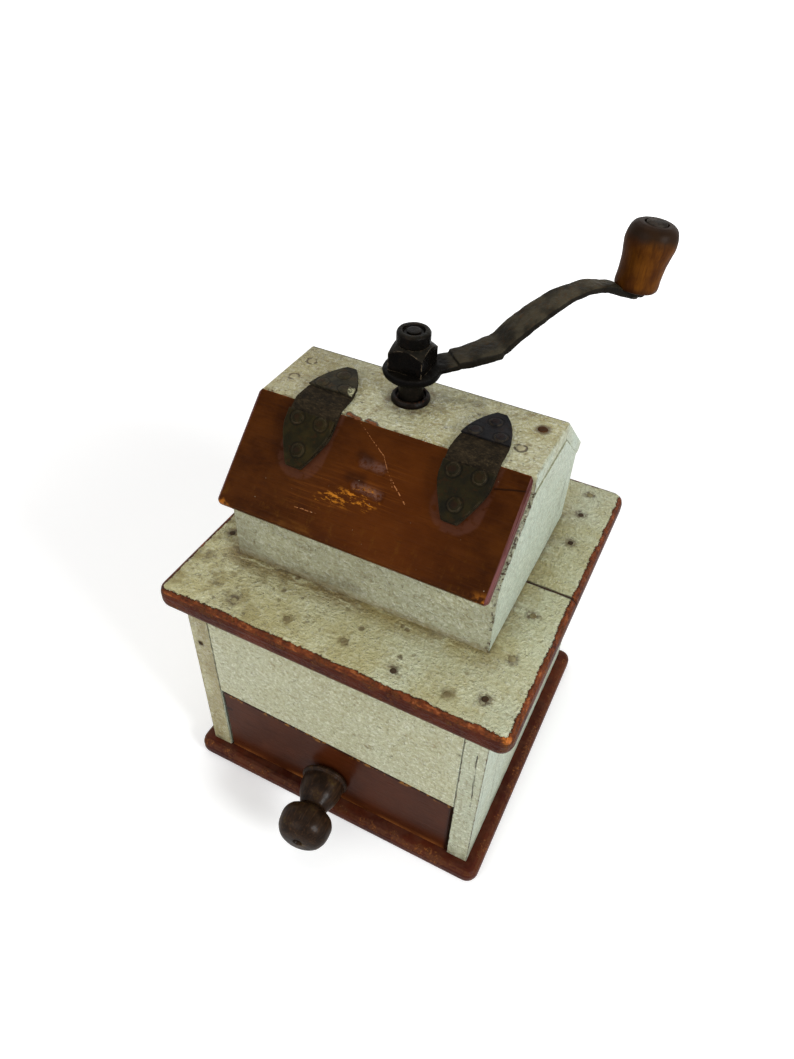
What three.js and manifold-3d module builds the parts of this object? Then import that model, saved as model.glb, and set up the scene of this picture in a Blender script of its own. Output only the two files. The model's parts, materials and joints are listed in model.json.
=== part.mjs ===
// Wooden box coffee grinder with a gabled hopper, a hinged sloping lid, a hand crank and a drawer.
// Millimetres, +Z up. The origin is the middle of the base plate's underside, the front faces -Y.
import * as THREE from "three";
import { mergeVertices } from "three/addons/utils/BufferGeometryUtils.js";
import Module from "manifold-3d";

const wasm = await Module();
wasm.setup();

// Clearances shared by the whole mill
const fit = 0.3; // between pieces that fit or run in one another
const overrun = 1; // how far a cutting shape runs past what it cuts
const arris = 0.6; // broken edge of a plain board

// Lower box
const boxWidth = 150;
const boxDepth = 144.8;
const boxBoard = 10.5; // thickness of the side, front and rear boards
const boxHeight = 116.5; // from the base plate to the middle plate
const mouthLeft = 50.4; // height of the drawer mouth at its left end
const mouthRight = 45.2; // and at its right end, as the front board sits out of level

// Base plate
const baseThickness = 9.5;
const baseOverhangSide = 7;
const baseOverhangFront = 6;
const baseNose = 3.4; // rounding of the plate's edge
const baseCorner = 6; // corner radius seen from above

// Middle plate, in two boards
const plateThickness = 11.1;
const plateOverhangLeft = 6;
const plateOverhangRight = 10;
const plateOverhangFront = 10;
const plateOverhangRear = 9;
const plateNose = 3.6;
const plateCorner = 6;
const seamY = -1.1; // the open seam between the two boards
const seamGap = 0.5;

// Hopper
const hopperInset = 14; // from the box's sides to the hopper's
const hopperDepth = 96;
const hopperBoard = 9.5;
const hopperY = 1.55; // middle of the hopper, front to back
const roofTop = 72.2; // top of the top board above the middle plate
const ridgeDepth = 39.5; // the flat top, front to back
const ridgeInset = 0.5; // the top board and the lid stop short of the hopper's sides
const ridgeBoard = 9; // thickness of the top board
const roofBoard = 6.5; // thickness of the lid and of the rear roof board
const roofRun = 38.2; // how far a slope reaches out from the ridge
const roofFall = 34.1; // how far it drops
const lidShiftX = -1;
const lidRound = 2; // rounding of the lid's lower edge
const lidBevel = 1.1; // bevel along the lid's ends

// Lid hinges: leather straps under iron plates
const hingeLeftInset = 27.3; // from the top board's left end to the middle of the left hinge
const hingeRightInset = 24.9; // and from its right end to the right one
const hingeHalfWidth = 10.6;
const hingeUpperLength = 27.8; // from the fold to the upper tip
const hingeLowerLength = 27.2; // from the fold to the lower end
const hingeFoldGap = 1.3; // bare stretch on each side of the fold
const strapThickness = 1.8;
const hingePlate = 1.2; // thickness of the iron plates
const upperPlateStart = 9.2; // distance of the upper plate's edge from the fold
const lowerPlateStart = 4.6;
const rivetRadius = 2.4;
const rivetHeight = 0.9;
const rivetSpread = 5.4; // half distance of the paired rivets
const rivetPairIn = 3; // the pair's distance from its plate's edge
const rivetTipIn = 7; // the single rivet's distance from the tip

// Spindle and the stack on top of it
const spindleX = -2.9;
const spindleY = 4.7;
const spindleRadius = 5.1;
const collarRadius = 8.2;
const collarHeight = 3;
const collarCup = 6.3; // radius of the collar's sunk middle
const collarCupDepth = 1.6;
const sleeveRadius = 6.6; // the collar's sleeve in the top board
const neckHeight = 12.2; // from the top board to the crank's eye
const eyeRadius = 12;
const eyeThickness = 3.4;
const eyeSquare = 8; // side of the square that drives the crank
const threadRadius = 3.9;
const nutFlats = 14.8; // across the flats of the square nut
const nutHeight = 10.5;
const nutCrown = 6.6; // radius of its flat top
const nutChamfer = 3.1; // how far its corners drop
const lockRadius = 6.9;
const lockHeight = 5.7;
const lockChamfer = 1;
const lockSink = 4.4; // radius of the ring sunk in the lock nut's top
const lockSinkDepth = 1;
const tipRadius = 2.9; // the bare end of the spindle

// Crank arm
const crankAzimuth = THREE.MathUtils.degToRad(45);
const armReach = 95.8; // from the spindle to the seat of the handle
const armRise = 26.4; // from the eye's top to the arm's highest place
const armWidth = 15;
const armThickness = 4.6;
const armSection = 12; // points round one section of the bar

// Crank handle and its pin
const handleLean = THREE.MathUtils.degToRad(6); // outward, square to the falling end of the arm
const handleHeight = 26.1;
const handleRadius = 10.4;
const handleFoot = 9; // radius of its lower end
const pinRadius = 2.7;
const pinHead = 4.2;
const pinHeadHeight = 2.6;
const pinSink = 4.8; // radius of the sunk ring round the pin head
const pinSinkDepth = 1.5;
const pinTailRadius = 3.4; // the riveted tail under the arm
const pinTailHeight = 1.1;
const seatRadius = 5.6; // flattened seat of the handle on the arm

// Grinding works
const housingFlange = 34.6; // radius
const housingFlangeThickness = 3.4;
const housingRadius = 26.5;
const housingDepth = 31; // below the middle plate's underside
const throatTop = 25;
const housingLip = 20.6; // radius of the mouth under the outer burr
const lipHeight = 2.4;
const outerBurrRadius = 23.6;
const outerBurrHeight = 20;
const burrTeeth = 16;
const outerToothTop = 20.2; // crest radius of the outer burr's teeth at its top
const outerToothBottom = 17;
const toothDepth = 2.2;
const innerBurrTop = 9.6; // crest radius of the inner burr at its top
const innerBurrBottom = 15.4;
const innerBurrHeight = 26;
const innerBurrDrop = 0.8; // how far it hangs below the outer burr
const burrTwist = 0.7; // turn of the inner teeth over the burr's height, in radians
const outerTwist = -0.35;
const burrSquare = 8.6; // side of the spindle's square in the inner burr
const crossPinRadius = 1.3;
const crossPinOut = 2; // how far the cross pin stands out of the spindle
const housingScrewRing = 30.8;
const housingScrews = 3;
const screwShank = 1.9;
const screwHead = 3.2;
const screwHeadHeight = 1.9;
const screwLength = 12;
const screwSlot = 0.9;

// Bearing bridge and adjusting screw
const bridgeEndGap = 1.6; // from the nearer foot's end to the box's side
const bridgeWidth = 15;
const bridgeThickness = 4;
const bridgeDrop = 48; // from the plate's underside to the top of the bar
const bridgeFoot = 13;
const bossRadius = 9;
const bossHeight = 6; // how far the boss stands under the bar
const adjusterRadius = 4;
const adjusterHeadFlats = 12;
const adjusterHeadHeight = 5;
const adjusterNutFlats = 15;
const adjusterNutHeight = 4;
const adjusterGap = 2.2; // between the lock nut and the screw's head
const pivotHeight = 2; // the screw's rounded end under the spindle
const spindleFoot = 4.5; // from the inner burr's underside to the spindle's end

// Drawer
const drawerClearance = 1; // around the front in its mouth
const drawerRecess = 0.6; // the front stands this far behind the box's face
const drawerLift = 0.3; // under the front and the runners
const drawerFrontThickness = 9;
const drawerSide = 6;
const drawerHeight = 38;
const drawerRearGap = 5.7; // between the shut drawer and the rear board
const drawerBack = 6;
const drawerBottom = 4;
const drawerBottomLift = 2.5;

// Drawer knob
const knobX = -3.3;
const knobZ = 17.5; // above the base plate
const knobLean = THREE.MathUtils.degToRad(8.5);
const knobLength = 35.2;
const knobRadius = 12.8;
const knobStand = 0.4; // between the drawer's face and the knob's flange
const knobHole = 2.2;
const knobHoleDepth = 4;
const knobScrewRadius = 1.8;
const knobScrewHead = 3.6;
const knobScrewHeadHeight = 2;
const knobScrewDepth = 16;

// Heights worked out from the sizes above
const baseTop = baseThickness;
const plateUnder = baseTop + boxHeight;
const plateTop = plateUnder + plateThickness;
const ridgeTop = plateTop + roofTop;
const ridgeUnder = ridgeTop - ridgeBoard;
const halfWidth = boxWidth / 2;
const halfDepth = boxDepth / 2;
const innerHalf = halfWidth - boxBoard;
const hopperHalf = halfWidth - hopperInset;
const ridgeHalf = hopperHalf - ridgeInset;
const slope = Math.atan2(roofFall, roofRun);
const ridgeFront = hopperY - ridgeDepth / 2;
const ridgeRear = hopperY + ridgeDepth / 2;
const hopperFront = hopperY - hopperDepth / 2;
const hopperRear = hopperY + hopperDepth / 2;
const eyeUnder = ridgeTop + neckHeight;
const eyeTop = eyeUnder + eyeThickness;
const nutTop = eyeTop + nutHeight;
const lockTop = nutTop + lockHeight;
const housingUnder = plateUnder - housingDepth;
const outerBurrUnder = housingUnder + lipHeight;
const innerBurrUnder = outerBurrUnder - innerBurrDrop;
const innerBurrTopZ = innerBurrUnder + innerBurrHeight;
const spindleEnd = innerBurrUnder - spindleFoot;
const bridgeTop = plateUnder - bridgeDrop;
const flangeUnder = plateTop - housingFlangeThickness;
const footUnder = plateUnder - bridgeThickness;
const footEnd = innerHalf - Math.abs(spindleX) - bridgeEndGap;
const legOuter = footEnd - bridgeFoot;
const legInner = legOuter - bridgeThickness;
const footMiddle = (legOuter + footEnd) / 2;

// Paint, wood and metal
function finish(color, roughness, metalness) {
  return new THREE.MeshStandardMaterial({ color, roughness, metalness });
}
const palePaint = finish(0xb9bd97, 0.6, 0);
const redPaint = finish(0x4e2116, 0.45, 0);
const varnish = finish(0x5a2f14, 0.4, 0);
const rawWood = finish(0x9a7547, 0.75, 0);
const darkWood = finish(0x2b1a12, 0.4, 0);
const honeyWood = finish(0x8a4f1c, 0.45, 0);
const blackIron = finish(0x24211e, 0.55, 0.7);
const castIron = finish(0x3a3835, 0.65, 0.7);
const brightSteel = finish(0x7b7a76, 0.4, 0.9);
const leather = finish(0x2e2219, 0.8, 0);

// Turns a closed three.js geometry into a solid for joining and cutting
function solid(geometry) {
  const plain = geometry.index ? geometry.toNonIndexed() : geometry.clone();
  plain.deleteAttribute("normal");
  plain.deleteAttribute("uv");
  const merged = mergeVertices(plain, 1e-4);
  const index = merged.index.array;
  const corners = [];
  for (let i = 0; i < index.length; i += 3) {
    const [a, b, c] = [index[i], index[i + 1], index[i + 2]];
    if (a !== b && b !== c && c !== a) corners.push(a, b, c);
  }
  const vertProperties = merged.attributes.position.array;
  const triVerts = new Uint32Array(corners);
  return new wasm.Manifold(new wasm.Mesh({ numProp: 3, vertProperties, triVerts }));
}

function geometryOf(made) {
  const mesh = made.getMesh();
  const geometry = new THREE.BufferGeometry();
  geometry.setAttribute("position", new THREE.BufferAttribute(mesh.vertProperties, mesh.numProp));
  geometry.setIndex(new THREE.BufferAttribute(mesh.triVerts, 1));
  const faceted = geometry.toNonIndexed();
  faceted.computeVertexNormals();
  return faceted;
}

const grinder = new THREE.Group();

function add(name, made, material, parent = grinder) {
  const mesh = new THREE.Mesh(geometryOf(made), material);
  mesh.name = name;
  parent.add(mesh);
  return mesh;
}

// A plain block between two corners
function block(x0, x1, y0, y1, z0, z1) {
  const geometry = new THREE.BoxGeometry(x1 - x0, y1 - y0, z1 - z0);
  geometry.translate((x0 + x1) / 2, (y0 + y1) / 2, (z0 + z1) / 2);
  return solid(geometry);
}

function shapeOf(points) {
  return new THREE.Shape(points.map(([x, y]) => new THREE.Vector2(x, y)));
}

// A flat outline pushed along an axis, with its edges broken by a small bevel
function pushed(shape, length, bevel) {
  const cut = Math.max(bevel, 0);
  const geometry = new THREE.ExtrudeGeometry(shape, {
    depth: length - 2 * cut,
    bevelEnabled: cut > 0,
    bevelThickness: cut,
    bevelSize: cut,
    bevelOffset: -cut,
    bevelSegments: 1,
    curveSegments: 8,
  });
  geometry.translate(0, 0, cut);
  return geometry;
}

// An outline in Y and Z pushed from x0 to x1
function alongX(points, x0, x1, bevel = 0) {
  const geometry = pushed(shapeOf(points), x1 - x0, bevel);
  geometry.applyMatrix4(new THREE.Matrix4().set(0, 0, 1, 0, 1, 0, 0, 0, 0, 1, 0, 0, 0, 0, 0, 1));
  geometry.translate(x0, 0, 0);
  return solid(geometry);
}

// An outline in X and Z pushed from y0 to y1
function alongY(points, y0, y1, bevel = 0) {
  const geometry = pushed(shapeOf(points), y1 - y0, bevel);
  geometry.rotateX(Math.PI / 2);
  geometry.translate(0, y1, 0);
  return solid(geometry);
}

// A shape in X and Y pushed from z0 to z1
function upward(shape, z0, z1, bevel = 0) {
  const geometry = pushed(shape, z1 - z0, bevel);
  geometry.translate(0, 0, z0);
  return solid(geometry);
}

// A board between two corners with broken edges
function board(x0, x1, y0, y1, z0, z1) {
  const outline = [
    [x0, y0],
    [x1, y0],
    [x1, y1],
    [x0, y1],
  ];
  return upward(shapeOf(outline), z0, z1, arris);
}

// A profile of radius and height turned about Z
function turned(profile, sides) {
  const points = profile.map(([radius, height]) => new THREE.Vector2(radius, height));
  const geometry = new THREE.LatheGeometry(points, sides);
  geometry.rotateX(Math.PI / 2);
  return solid(geometry);
}

// A plain rod about Z
function rod(radius, z0, z1, sides = 24) {
  const profile = [
    [0, z0],
    [radius, z0],
    [radius, z1],
    [0, z1],
  ];
  return turned(profile, sides);
}

// A square bar about Z
function squareBar(side, z0, z1) {
  const half = side / 2;
  return block(-half, half, -half, half, z0, z1);
}

// A plate with rounded corners and a rounded edge all round
function nosedPlate(x0, x1, y0, y1, z0, z1, nose, corner) {
  const shape = new THREE.Shape();
  shape.moveTo(x0 + corner, y0);
  shape.lineTo(x1 - corner, y0);
  shape.absarc(x1 - corner, y0 + corner, corner, -Math.PI / 2, 0);
  shape.lineTo(x1, y1 - corner);
  shape.absarc(x1 - corner, y1 - corner, corner, 0, Math.PI / 2);
  shape.lineTo(x0 + corner, y1);
  shape.absarc(x0 + corner, y1 - corner, corner, Math.PI / 2, Math.PI);
  shape.lineTo(x0, y0 + corner);
  shape.absarc(x0 + corner, y0 + corner, corner, Math.PI, 1.5 * Math.PI);
  const geometry = new THREE.ExtrudeGeometry(shape, {
    depth: z1 - z0 - 2 * nose,
    bevelEnabled: true,
    bevelThickness: nose,
    bevelSize: nose,
    bevelOffset: -nose,
    bevelSegments: 3,
    curveSegments: 4,
  });
  geometry.translate(0, 0, z0 + nose);
  return solid(geometry);
}

// Skin over a stack of rings with equal numbers of points; a loop of rings closes on itself
function lofted(rings, looped) {
  const count = rings[0].length;
  const positions = [];
  const triangle = (a, b, c) => positions.push(...a, ...b, ...c);
  const last = looped ? rings.length : rings.length - 1;
  for (let r = 0; r < last; r++) {
    const low = rings[r];
    const high = rings[(r + 1) % rings.length];
    for (let i = 0; i < count; i++) {
      const j = (i + 1) % count;
      triangle(low[i], low[j], high[j]);
      triangle(low[i], high[j], high[i]);
    }
  }
  if (!looped) {
    const middle = (ring) => [0, 1, 2].map((k) => ring.reduce((sum, p) => sum + p[k], 0) / count);
    const first = rings[0];
    const end = rings[rings.length - 1];
    for (let i = 0; i < count; i++) {
      const j = (i + 1) % count;
      triangle(middle(first), first[j], first[i]);
      triangle(middle(end), end[i], end[j]);
    }
  }
  const geometry = new THREE.BufferGeometry();
  geometry.setAttribute("position", new THREE.BufferAttribute(new Float32Array(positions), 3));
  return solid(geometry);
}

// Base plate and the box above it
const base = nosedPlate(
  -halfWidth - baseOverhangSide,
  halfWidth + baseOverhangSide,
  -halfDepth - baseOverhangFront,
  halfDepth + baseOverhangFront,
  0,
  baseThickness,
  baseNose,
  baseCorner,
);
add("base_plate", base, redPaint);

for (const [name, side] of [
  ["side_board_left", -1],
  ["side_board_right", 1],
]) {
  const inner = side * (halfWidth - boxBoard);
  const outer = side * halfWidth;
  const left = Math.min(inner, outer);
  const made = board(left, left + boxBoard, -halfDepth, halfDepth, baseTop, plateUnder);
  add(name, made, palePaint);
}

const frontOutline = [
  [-innerHalf, baseTop + mouthLeft],
  [innerHalf, baseTop + mouthRight],
  [innerHalf, plateUnder],
  [-innerHalf, plateUnder],
];
add("front_board", alongY(frontOutline, -halfDepth, -halfDepth + boxBoard, arris), palePaint);
const rearBoard = board(-innerHalf, innerHalf, halfDepth - boxBoard, halfDepth, baseTop, plateUnder);
add("rear_board", rearBoard, palePaint);

// Middle plate, cut at its seam and bored for the burr housing
const plateFront = -halfDepth - plateOverhangFront;
const plateRear = halfDepth + plateOverhangRear;
const plateLeft = -halfWidth - plateOverhangLeft;
const plateRight = halfWidth + plateOverhangRight;
const plateBore = rod(housingRadius + fit, plateUnder - overrun, plateTop + overrun, 40)
  .translate([spindleX, spindleY, 0]);
const pilotRadius = screwShank + fit;
const screwPlaces = Array.from({ length: housingScrews }, (_, i) => {
  const angle = (2 * Math.PI * (i + 0.5)) / housingScrews;
  return [housingScrewRing * Math.cos(angle), housingScrewRing * Math.sin(angle), 0];
});
const flangeSeat = rod(housingFlange + fit, flangeUnder, plateTop + overrun, 40)
  .translate([spindleX, spindleY, 0]);
let wholePlate = nosedPlate(
  plateLeft,
  plateRight,
  plateFront,
  plateRear,
  plateUnder,
  plateTop,
  plateNose,
  plateCorner,
)
  .subtract(plateBore)
  .subtract(flangeSeat);

for (const place of screwPlaces) {
  const pilot = rod(pilotRadius, plateTop - screwLength - fit, plateTop + overrun, 12);
  wholePlate = wholePlate.subtract(pilot.translate([spindleX, spindleY, 0]).translate(place));
}
for (const x of [-footMiddle, footMiddle]) {
  const pilot = rod(pilotRadius, plateUnder - overrun, footUnder + screwLength + fit, 12);
  wholePlate = wholePlate.subtract(pilot.translate([spindleX + x, spindleY, 0]));
}

function plateHalf(y0, y1) {
  const [low, high] = [plateUnder - overrun, plateTop + overrun];
  return wholePlate.intersect(block(plateLeft - overrun, plateRight + overrun, y0, y1, low, high));
}
add("mid_plate_front", plateHalf(plateFront - overrun, seamY - seamGap / 2), palePaint);
add("mid_plate_rear", plateHalf(seamY + seamGap / 2, plateRear + overrun), palePaint);

// Hopper walls. The underside of a roof board runs parallel to its top face
const roofDrop = roofBoard / Math.cos(slope); // thickness of a roof board measured straight down
const grade = roofFall / roofRun;
function undersideZ(y) {
  const out = y < hopperY ? ridgeFront - y : y - ridgeRear;
  return ridgeTop - roofDrop - fit - grade * out;
}
const gableTopFront = ridgeFront + (ridgeUnder - undersideZ(ridgeFront)) / -grade;
const gableTopRear = 2 * hopperY - gableTopFront;
const gableOutline = [
  [hopperFront, plateTop],
  [hopperRear, plateTop],
  [hopperRear, undersideZ(hopperRear)],
  [gableTopRear, ridgeUnder],
  [gableTopFront, ridgeUnder],
  [hopperFront, undersideZ(hopperFront)],
];
add("hopper_side_left", alongX(gableOutline, -hopperHalf, -hopperHalf + hopperBoard), palePaint);
add("hopper_side_right", alongX(gableOutline, hopperHalf - hopperBoard, hopperHalf), palePaint);

function hopperWall(outer, inner) {
  const outline = [
    [outer, plateTop],
    [inner, plateTop],
    [inner, undersideZ(inner)],
    [outer, undersideZ(outer)],
  ];
  const ordered = outer < inner ? outline : outline.reverse();
  return alongX(ordered, -hopperHalf + hopperBoard, hopperHalf - hopperBoard);
}
add("hopper_front_wall", hopperWall(hopperFront, hopperFront + hopperBoard), palePaint);
add("hopper_rear_wall", hopperWall(hopperRear, hopperRear - hopperBoard), palePaint);

// Top board, bored for the collar's sleeve
const sleeveBore = rod(sleeveRadius + fit, ridgeUnder - overrun, ridgeTop + overrun)
  .translate([spindleX, spindleY, 0]);
const topBoard = board(-ridgeHalf, ridgeHalf, ridgeFront, ridgeRear, ridgeUnder, ridgeTop);
add("top_board", topBoard.subtract(sleeveBore), palePaint);

// A sloping board drawn as the front one: its upper end is cut plumb against the top board.
// Rows place the points of its rounded lower edge, back up the slope as shares of the rounding
// and down into the board as shares of its thickness
const roofEdgeShares = [
  [1, 0],
  [0.3, 0.05],
  [0, 0.2],
  [-0.2, 0.5],
  [0, 0.8],
  [1, 1],
];

function roofOutline() {
  const sine = Math.sin(slope);
  const cosine = Math.cos(slope);
  const edge = roofEdgeShares.map(([back, depth]) => [
    -roofRun + back * lidRound * cosine + depth * roofBoard * sine,
    -roofFall + back * lidRound * sine - depth * roofBoard * cosine,
  ]);
  return [[-fit, -fit * grade - roofDrop], [-fit, -fit * grade], ...edge];
}
const lidOutline = roofOutline().map(([y, z]) => [ridgeFront + y, ridgeTop + z]);
const roofRearOutline = roofOutline()
  .map(([y, z]) => [ridgeRear - y, ridgeTop + z])
  .reverse();
add("lid", alongX(lidOutline, lidShiftX - ridgeHalf, lidShiftX + ridgeHalf, lidBevel), varnish);
add("rear_roof_board", alongX(roofRearOutline, -ridgeHalf, ridgeHalf, arris), palePaint);

// Hinges. Each half is drawn flat, with the fold at zero and its tip at +Y.
// Rows give shares of the half's length and of its half width, from the fold to the tip
const upperHingeShares = [
  [0, 1],
  [0.36, 0.95],
  [0.6, 0.8],
  [0.8, 0.57],
  [0.94, 0.33],
  [1, 0.2],
];
const lowerHingeShares = [
  [0, 1],
  [0.38, 1],
  [0.57, 0.86],
  [0.76, 0.63],
  [0.93, 0.4],
  [1, 0.28],
];
const hingeSteps = 10;

function hingeOutline(from, length, shares) {
  const edge = new THREE.SplineCurve(
    shares.map(([reach, width]) => new THREE.Vector2(width * hingeHalfWidth, reach * length)),
  );
  const points = edge.getPoints(hingeSteps).filter((point) => point.y > from + overrun);
  const first = edge.getPoints(hingeSteps ** 2).find((point) => point.y >= from);
  const right = [[first.x, from], ...points.map((point) => [point.x, point.y])];
  const left = right.map(([x, y]) => [-x, y]).reverse();
  return [...right, ...left];
}

function rivet(x, y, z) {
  const crown = [
    [0, z - hingePlate / 2],
    [rivetRadius, z - hingePlate / 2],
    [rivetRadius, z + rivetHeight * 0.3],
    [rivetRadius * 0.7, z + rivetHeight * 0.85],
    [0, z + rivetHeight],
  ];
  return turned(crown, 12).translate([x, y, 0]);
}

function hingeStrap(length, shares) {
  return upward(shapeOf(hingeOutline(hingeFoldGap, length, shares)), 0, strapThickness);
}

function hingeIron(from, length, shares) {
  const top = strapThickness + hingePlate;
  let plate = upward(shapeOf(hingeOutline(from, length, shares)), strapThickness, top, hingePlate / 4);
  const places = [
    [-rivetSpread, from + rivetPairIn],
    [rivetSpread, from + rivetPairIn],
    [0, length - rivetTipIn],
  ];
  for (const [x, y] of places) plate = plate.add(rivet(x, y, top));
  return plate;
}

for (const [side, x] of [
  ["left", -ridgeHalf + hingeLeftInset],
  ["right", ridgeHalf - hingeRightInset],
]) {
  const upper = new THREE.Group();
  upper.position.set(x, ridgeFront, ridgeTop);
  grinder.add(upper);
  add(`${side}_hinge_strap_upper`, hingeStrap(hingeUpperLength, upperHingeShares), leather, upper);
  const upperIron = hingeIron(upperPlateStart, hingeUpperLength, upperHingeShares);
  add(`${side}_hinge_upper_plate`, upperIron, blackIron, upper);
  const lower = new THREE.Group();
  lower.position.set(x, ridgeFront - fit * Math.sin(slope), ridgeTop + fit * Math.cos(slope));
  lower.rotation.set(slope, 0, Math.PI, "XYZ");
  grinder.add(lower);
  add(`${side}_hinge_strap_lower`, hingeStrap(hingeLowerLength, lowerHingeShares), leather, lower);
  const lowerIron = hingeIron(lowerPlateStart, hingeLowerLength, lowerHingeShares);
  add(`${side}_hinge_lower_plate`, lowerIron, blackIron, lower);
}

// Everything on the spindle's axis is drawn round the origin and stands in this group
const works = new THREE.Group();
works.position.set(spindleX, spindleY, 0);
grinder.add(works);

// What turns with the crank is drawn with the arm along +X
const crank = new THREE.Group();
crank.rotation.z = crankAzimuth;
works.add(crank);

// Collar: a flange on the top board, sunk round the spindle, with a sleeve through the board
const collarTop = ridgeTop + collarHeight;
const collarBore = spindleRadius + fit;
const collarProfile = [
  [collarBore, ridgeUnder],
  [sleeveRadius, ridgeUnder],
  [sleeveRadius, ridgeTop],
  [collarRadius, ridgeTop],
  [collarRadius, ridgeTop + collarHeight * 0.45],
  [collarRadius - collarHeight * 0.2, ridgeTop + collarHeight * 0.85],
  [(collarRadius + collarCup) / 2, collarTop],
  [collarCup, collarTop - collarCupDepth * 0.2],
  [collarCup - collarCupDepth * 0.3, collarTop - collarCupDepth],
  [collarBore, collarTop - collarCupDepth],
  [collarBore, ridgeUnder],
];
add("spindle_collar", turned(collarProfile, 32), blackIron, works);

// Spindle: foot, square for the inner burr, round journal, square for the crank, threaded end
const pinHole = innerBurrTopZ + crossPinRadius + fit;
const spindleRound = [
  [0, spindleEnd],
  [spindleRadius * 0.5, spindleEnd],
  [spindleRadius * 0.8, spindleEnd + spindleRadius * 0.3],
  [spindleRadius * 0.8, innerBurrUnder],
  [burrSquare / 2, innerBurrUnder],
  [burrSquare / 2, innerBurrTopZ],
  [spindleRadius, innerBurrTopZ],
  [spindleRadius, eyeUnder],
  [threadRadius, eyeUnder],
  [threadRadius, lockTop - lockSinkDepth],
  [tipRadius, lockTop - lockSinkDepth],
  [tipRadius, lockTop - lockSinkDepth * 0.2],
  [tipRadius * 0.7, lockTop],
  [0, lockTop],
];
const crossHole = rod(crossPinRadius + fit / 2, -spindleRadius - overrun, spindleRadius + overrun, 12)
  .rotate([90, 0, 0])
  .translate([0, 0, pinHole]);
const spindle = turned(spindleRound, 24)
  .add(squareBar(burrSquare, innerBurrUnder, innerBurrTopZ))
  .add(squareBar(eyeSquare, eyeUnder - fit, eyeTop - fit))
  .subtract(crossHole);
add("spindle", spindle, blackIron, crank);

const pinHalf = spindleRadius + crossPinOut;
const crossPin = rod(crossPinRadius, -pinHalf, pinHalf, 12).rotate([90, 0, 0]).translate([0, 0, pinHole]);
add("inner_burr_pin", crossPin, brightSteel, crank);

// Crank arm: one loft from the neck at the eye to the seat of the handle, joined to the eye.
// Each row gives shares of the reach, of the rise, of the width and of the thickness, and how far
// the bar stands to one side as a share of its width
const armShares = [
  [0.04, 0.0, 0.8, 0.72, 0],
  [0.1, 0.02, 0.8, 0.72, 0],
  [0.16, 0.04, 0.77, 0.72, 0],
  [0.19, 0.055, 0.79, 0.72, -0.03],
  [0.2, 0.1, 0.8, 1.0, -0.04],
  [0.24, 0.14, 0.81, 1.04, -0.1],
  [0.29, 0.19, 0.85, 1.04, -0.1],
  [0.375, 0.23, 0.99, 1.0, -0.05],
  [0.392, 0.26, 0.96, 0.86, -0.02],
  [0.44, 0.395, 0.97, 0.8, 0],
  [0.52, 0.605, 0.95, 0.76, 0],
  [0.6, 0.79, 0.88, 0.72, 0],
  [0.69, 0.94, 0.74, 0.7, 0],
  [0.78, 1.0, 0.6, 0.72, 0],
  [0.86, 0.975, 0.48, 0.76, 0],
  [0.93, 0.88, 0.46, 0.76, 0],
  [0.97, 0.83, 0.5, 0.74, 0],
];
const armStations = armShares.map(([reach, rise, width, thickness, side]) => ({
  along: reach * armReach,
  top: eyeTop + rise * armRise,
  width: width * armWidth,
  thickness: thickness * armThickness,
  side: side * armWidth,
}));

// A rounded bar section across the arm, square to its run
function armRing(station, tilt) {
  const ring = [];
  for (let i = 0; i < armSection; i++) {
    const angle = (2 * Math.PI * (i + 0.5)) / armSection;
    const across = Math.sign(Math.cos(angle)) * Math.abs(Math.cos(angle)) ** 0.35;
    const up = Math.sign(Math.sin(angle)) * Math.abs(Math.sin(angle)) ** 0.35;
    const lift = (up * station.thickness) / 2;
    ring.push([
      station.along - Math.sin(tilt) * lift,
      station.side + (across * station.width) / 2,
      station.top - (station.thickness / 2) * Math.cos(tilt) + Math.cos(tilt) * lift,
    ]);
  }
  return ring;
}

const armRings = armStations.map((station, i) => {
  const before = armStations[Math.max(i - 1, 0)];
  const after = armStations[Math.min(i + 1, armStations.length - 1)];
  const tilt = Math.atan2(after.top - before.top, after.along - before.along);
  return armRing(station, tilt);
});
const seatStation = armStations[armStations.length - 1];
const seatTop = seatStation.top;
const seatThickness = seatStation.thickness;
const eyeProfile = [
  [0, eyeUnder],
  [eyeRadius * 0.93, eyeUnder],
  [eyeRadius, eyeUnder + eyeThickness * 0.3],
  [eyeRadius, eyeUnder + eyeThickness * 0.7],
  [eyeRadius * 0.95, eyeTop],
  [0, eyeTop],
];
const eyeHole = squareBar(eyeSquare + 2 * fit, eyeUnder - overrun, eyeTop + overrun);
const nutCorner = nutFlats / Math.SQRT2;
const nutSpace = rod(nutCorner + fit, eyeTop, nutTop, 24);

// Moves what is drawn upright round the handle's axis to the end of the arm, with its lean
function onSeat(solid) {
  return solid.rotate([0, THREE.MathUtils.radToDeg(handleLean), 0]).translate([armReach, 0, seatTop]);
}
const seat = onSeat(rod(seatRadius, -seatThickness, 0, 20));
const seatSpace = onSeat(rod(handleFoot + fit, 0, handleHeight, 20));
const seatHole = onSeat(rod(pinRadius + fit, -seatThickness - overrun, overrun));
const arm = turned(eyeProfile, 32)
  .add(lofted(armRings, false))
  .add(seat)
  .subtract(nutSpace)
  .subtract(seatSpace)
  .subtract(eyeHole)
  .subtract(seatHole);

add("crank_arm", arm, blackIron, crank);

// Nuts on the threaded end
function boredNut(outer, z0, z1) {
  return outer.subtract(rod(threadRadius + fit, z0 - overrun, z1 + overrun, 20));
}
const nutCone = [
  [0, eyeTop],
  [nutFlats, eyeTop],
  [nutFlats, nutTop - (nutChamfer * (nutFlats - nutCrown)) / (nutCorner - nutCrown)],
  [nutCrown, nutTop],
  [0, nutTop],
];
const squareNut = squareBar(nutFlats, eyeTop, nutTop).intersect(turned(nutCone, 24));
add("crank_nut", boredNut(squareNut, eyeTop, nutTop), blackIron, works);

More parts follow.
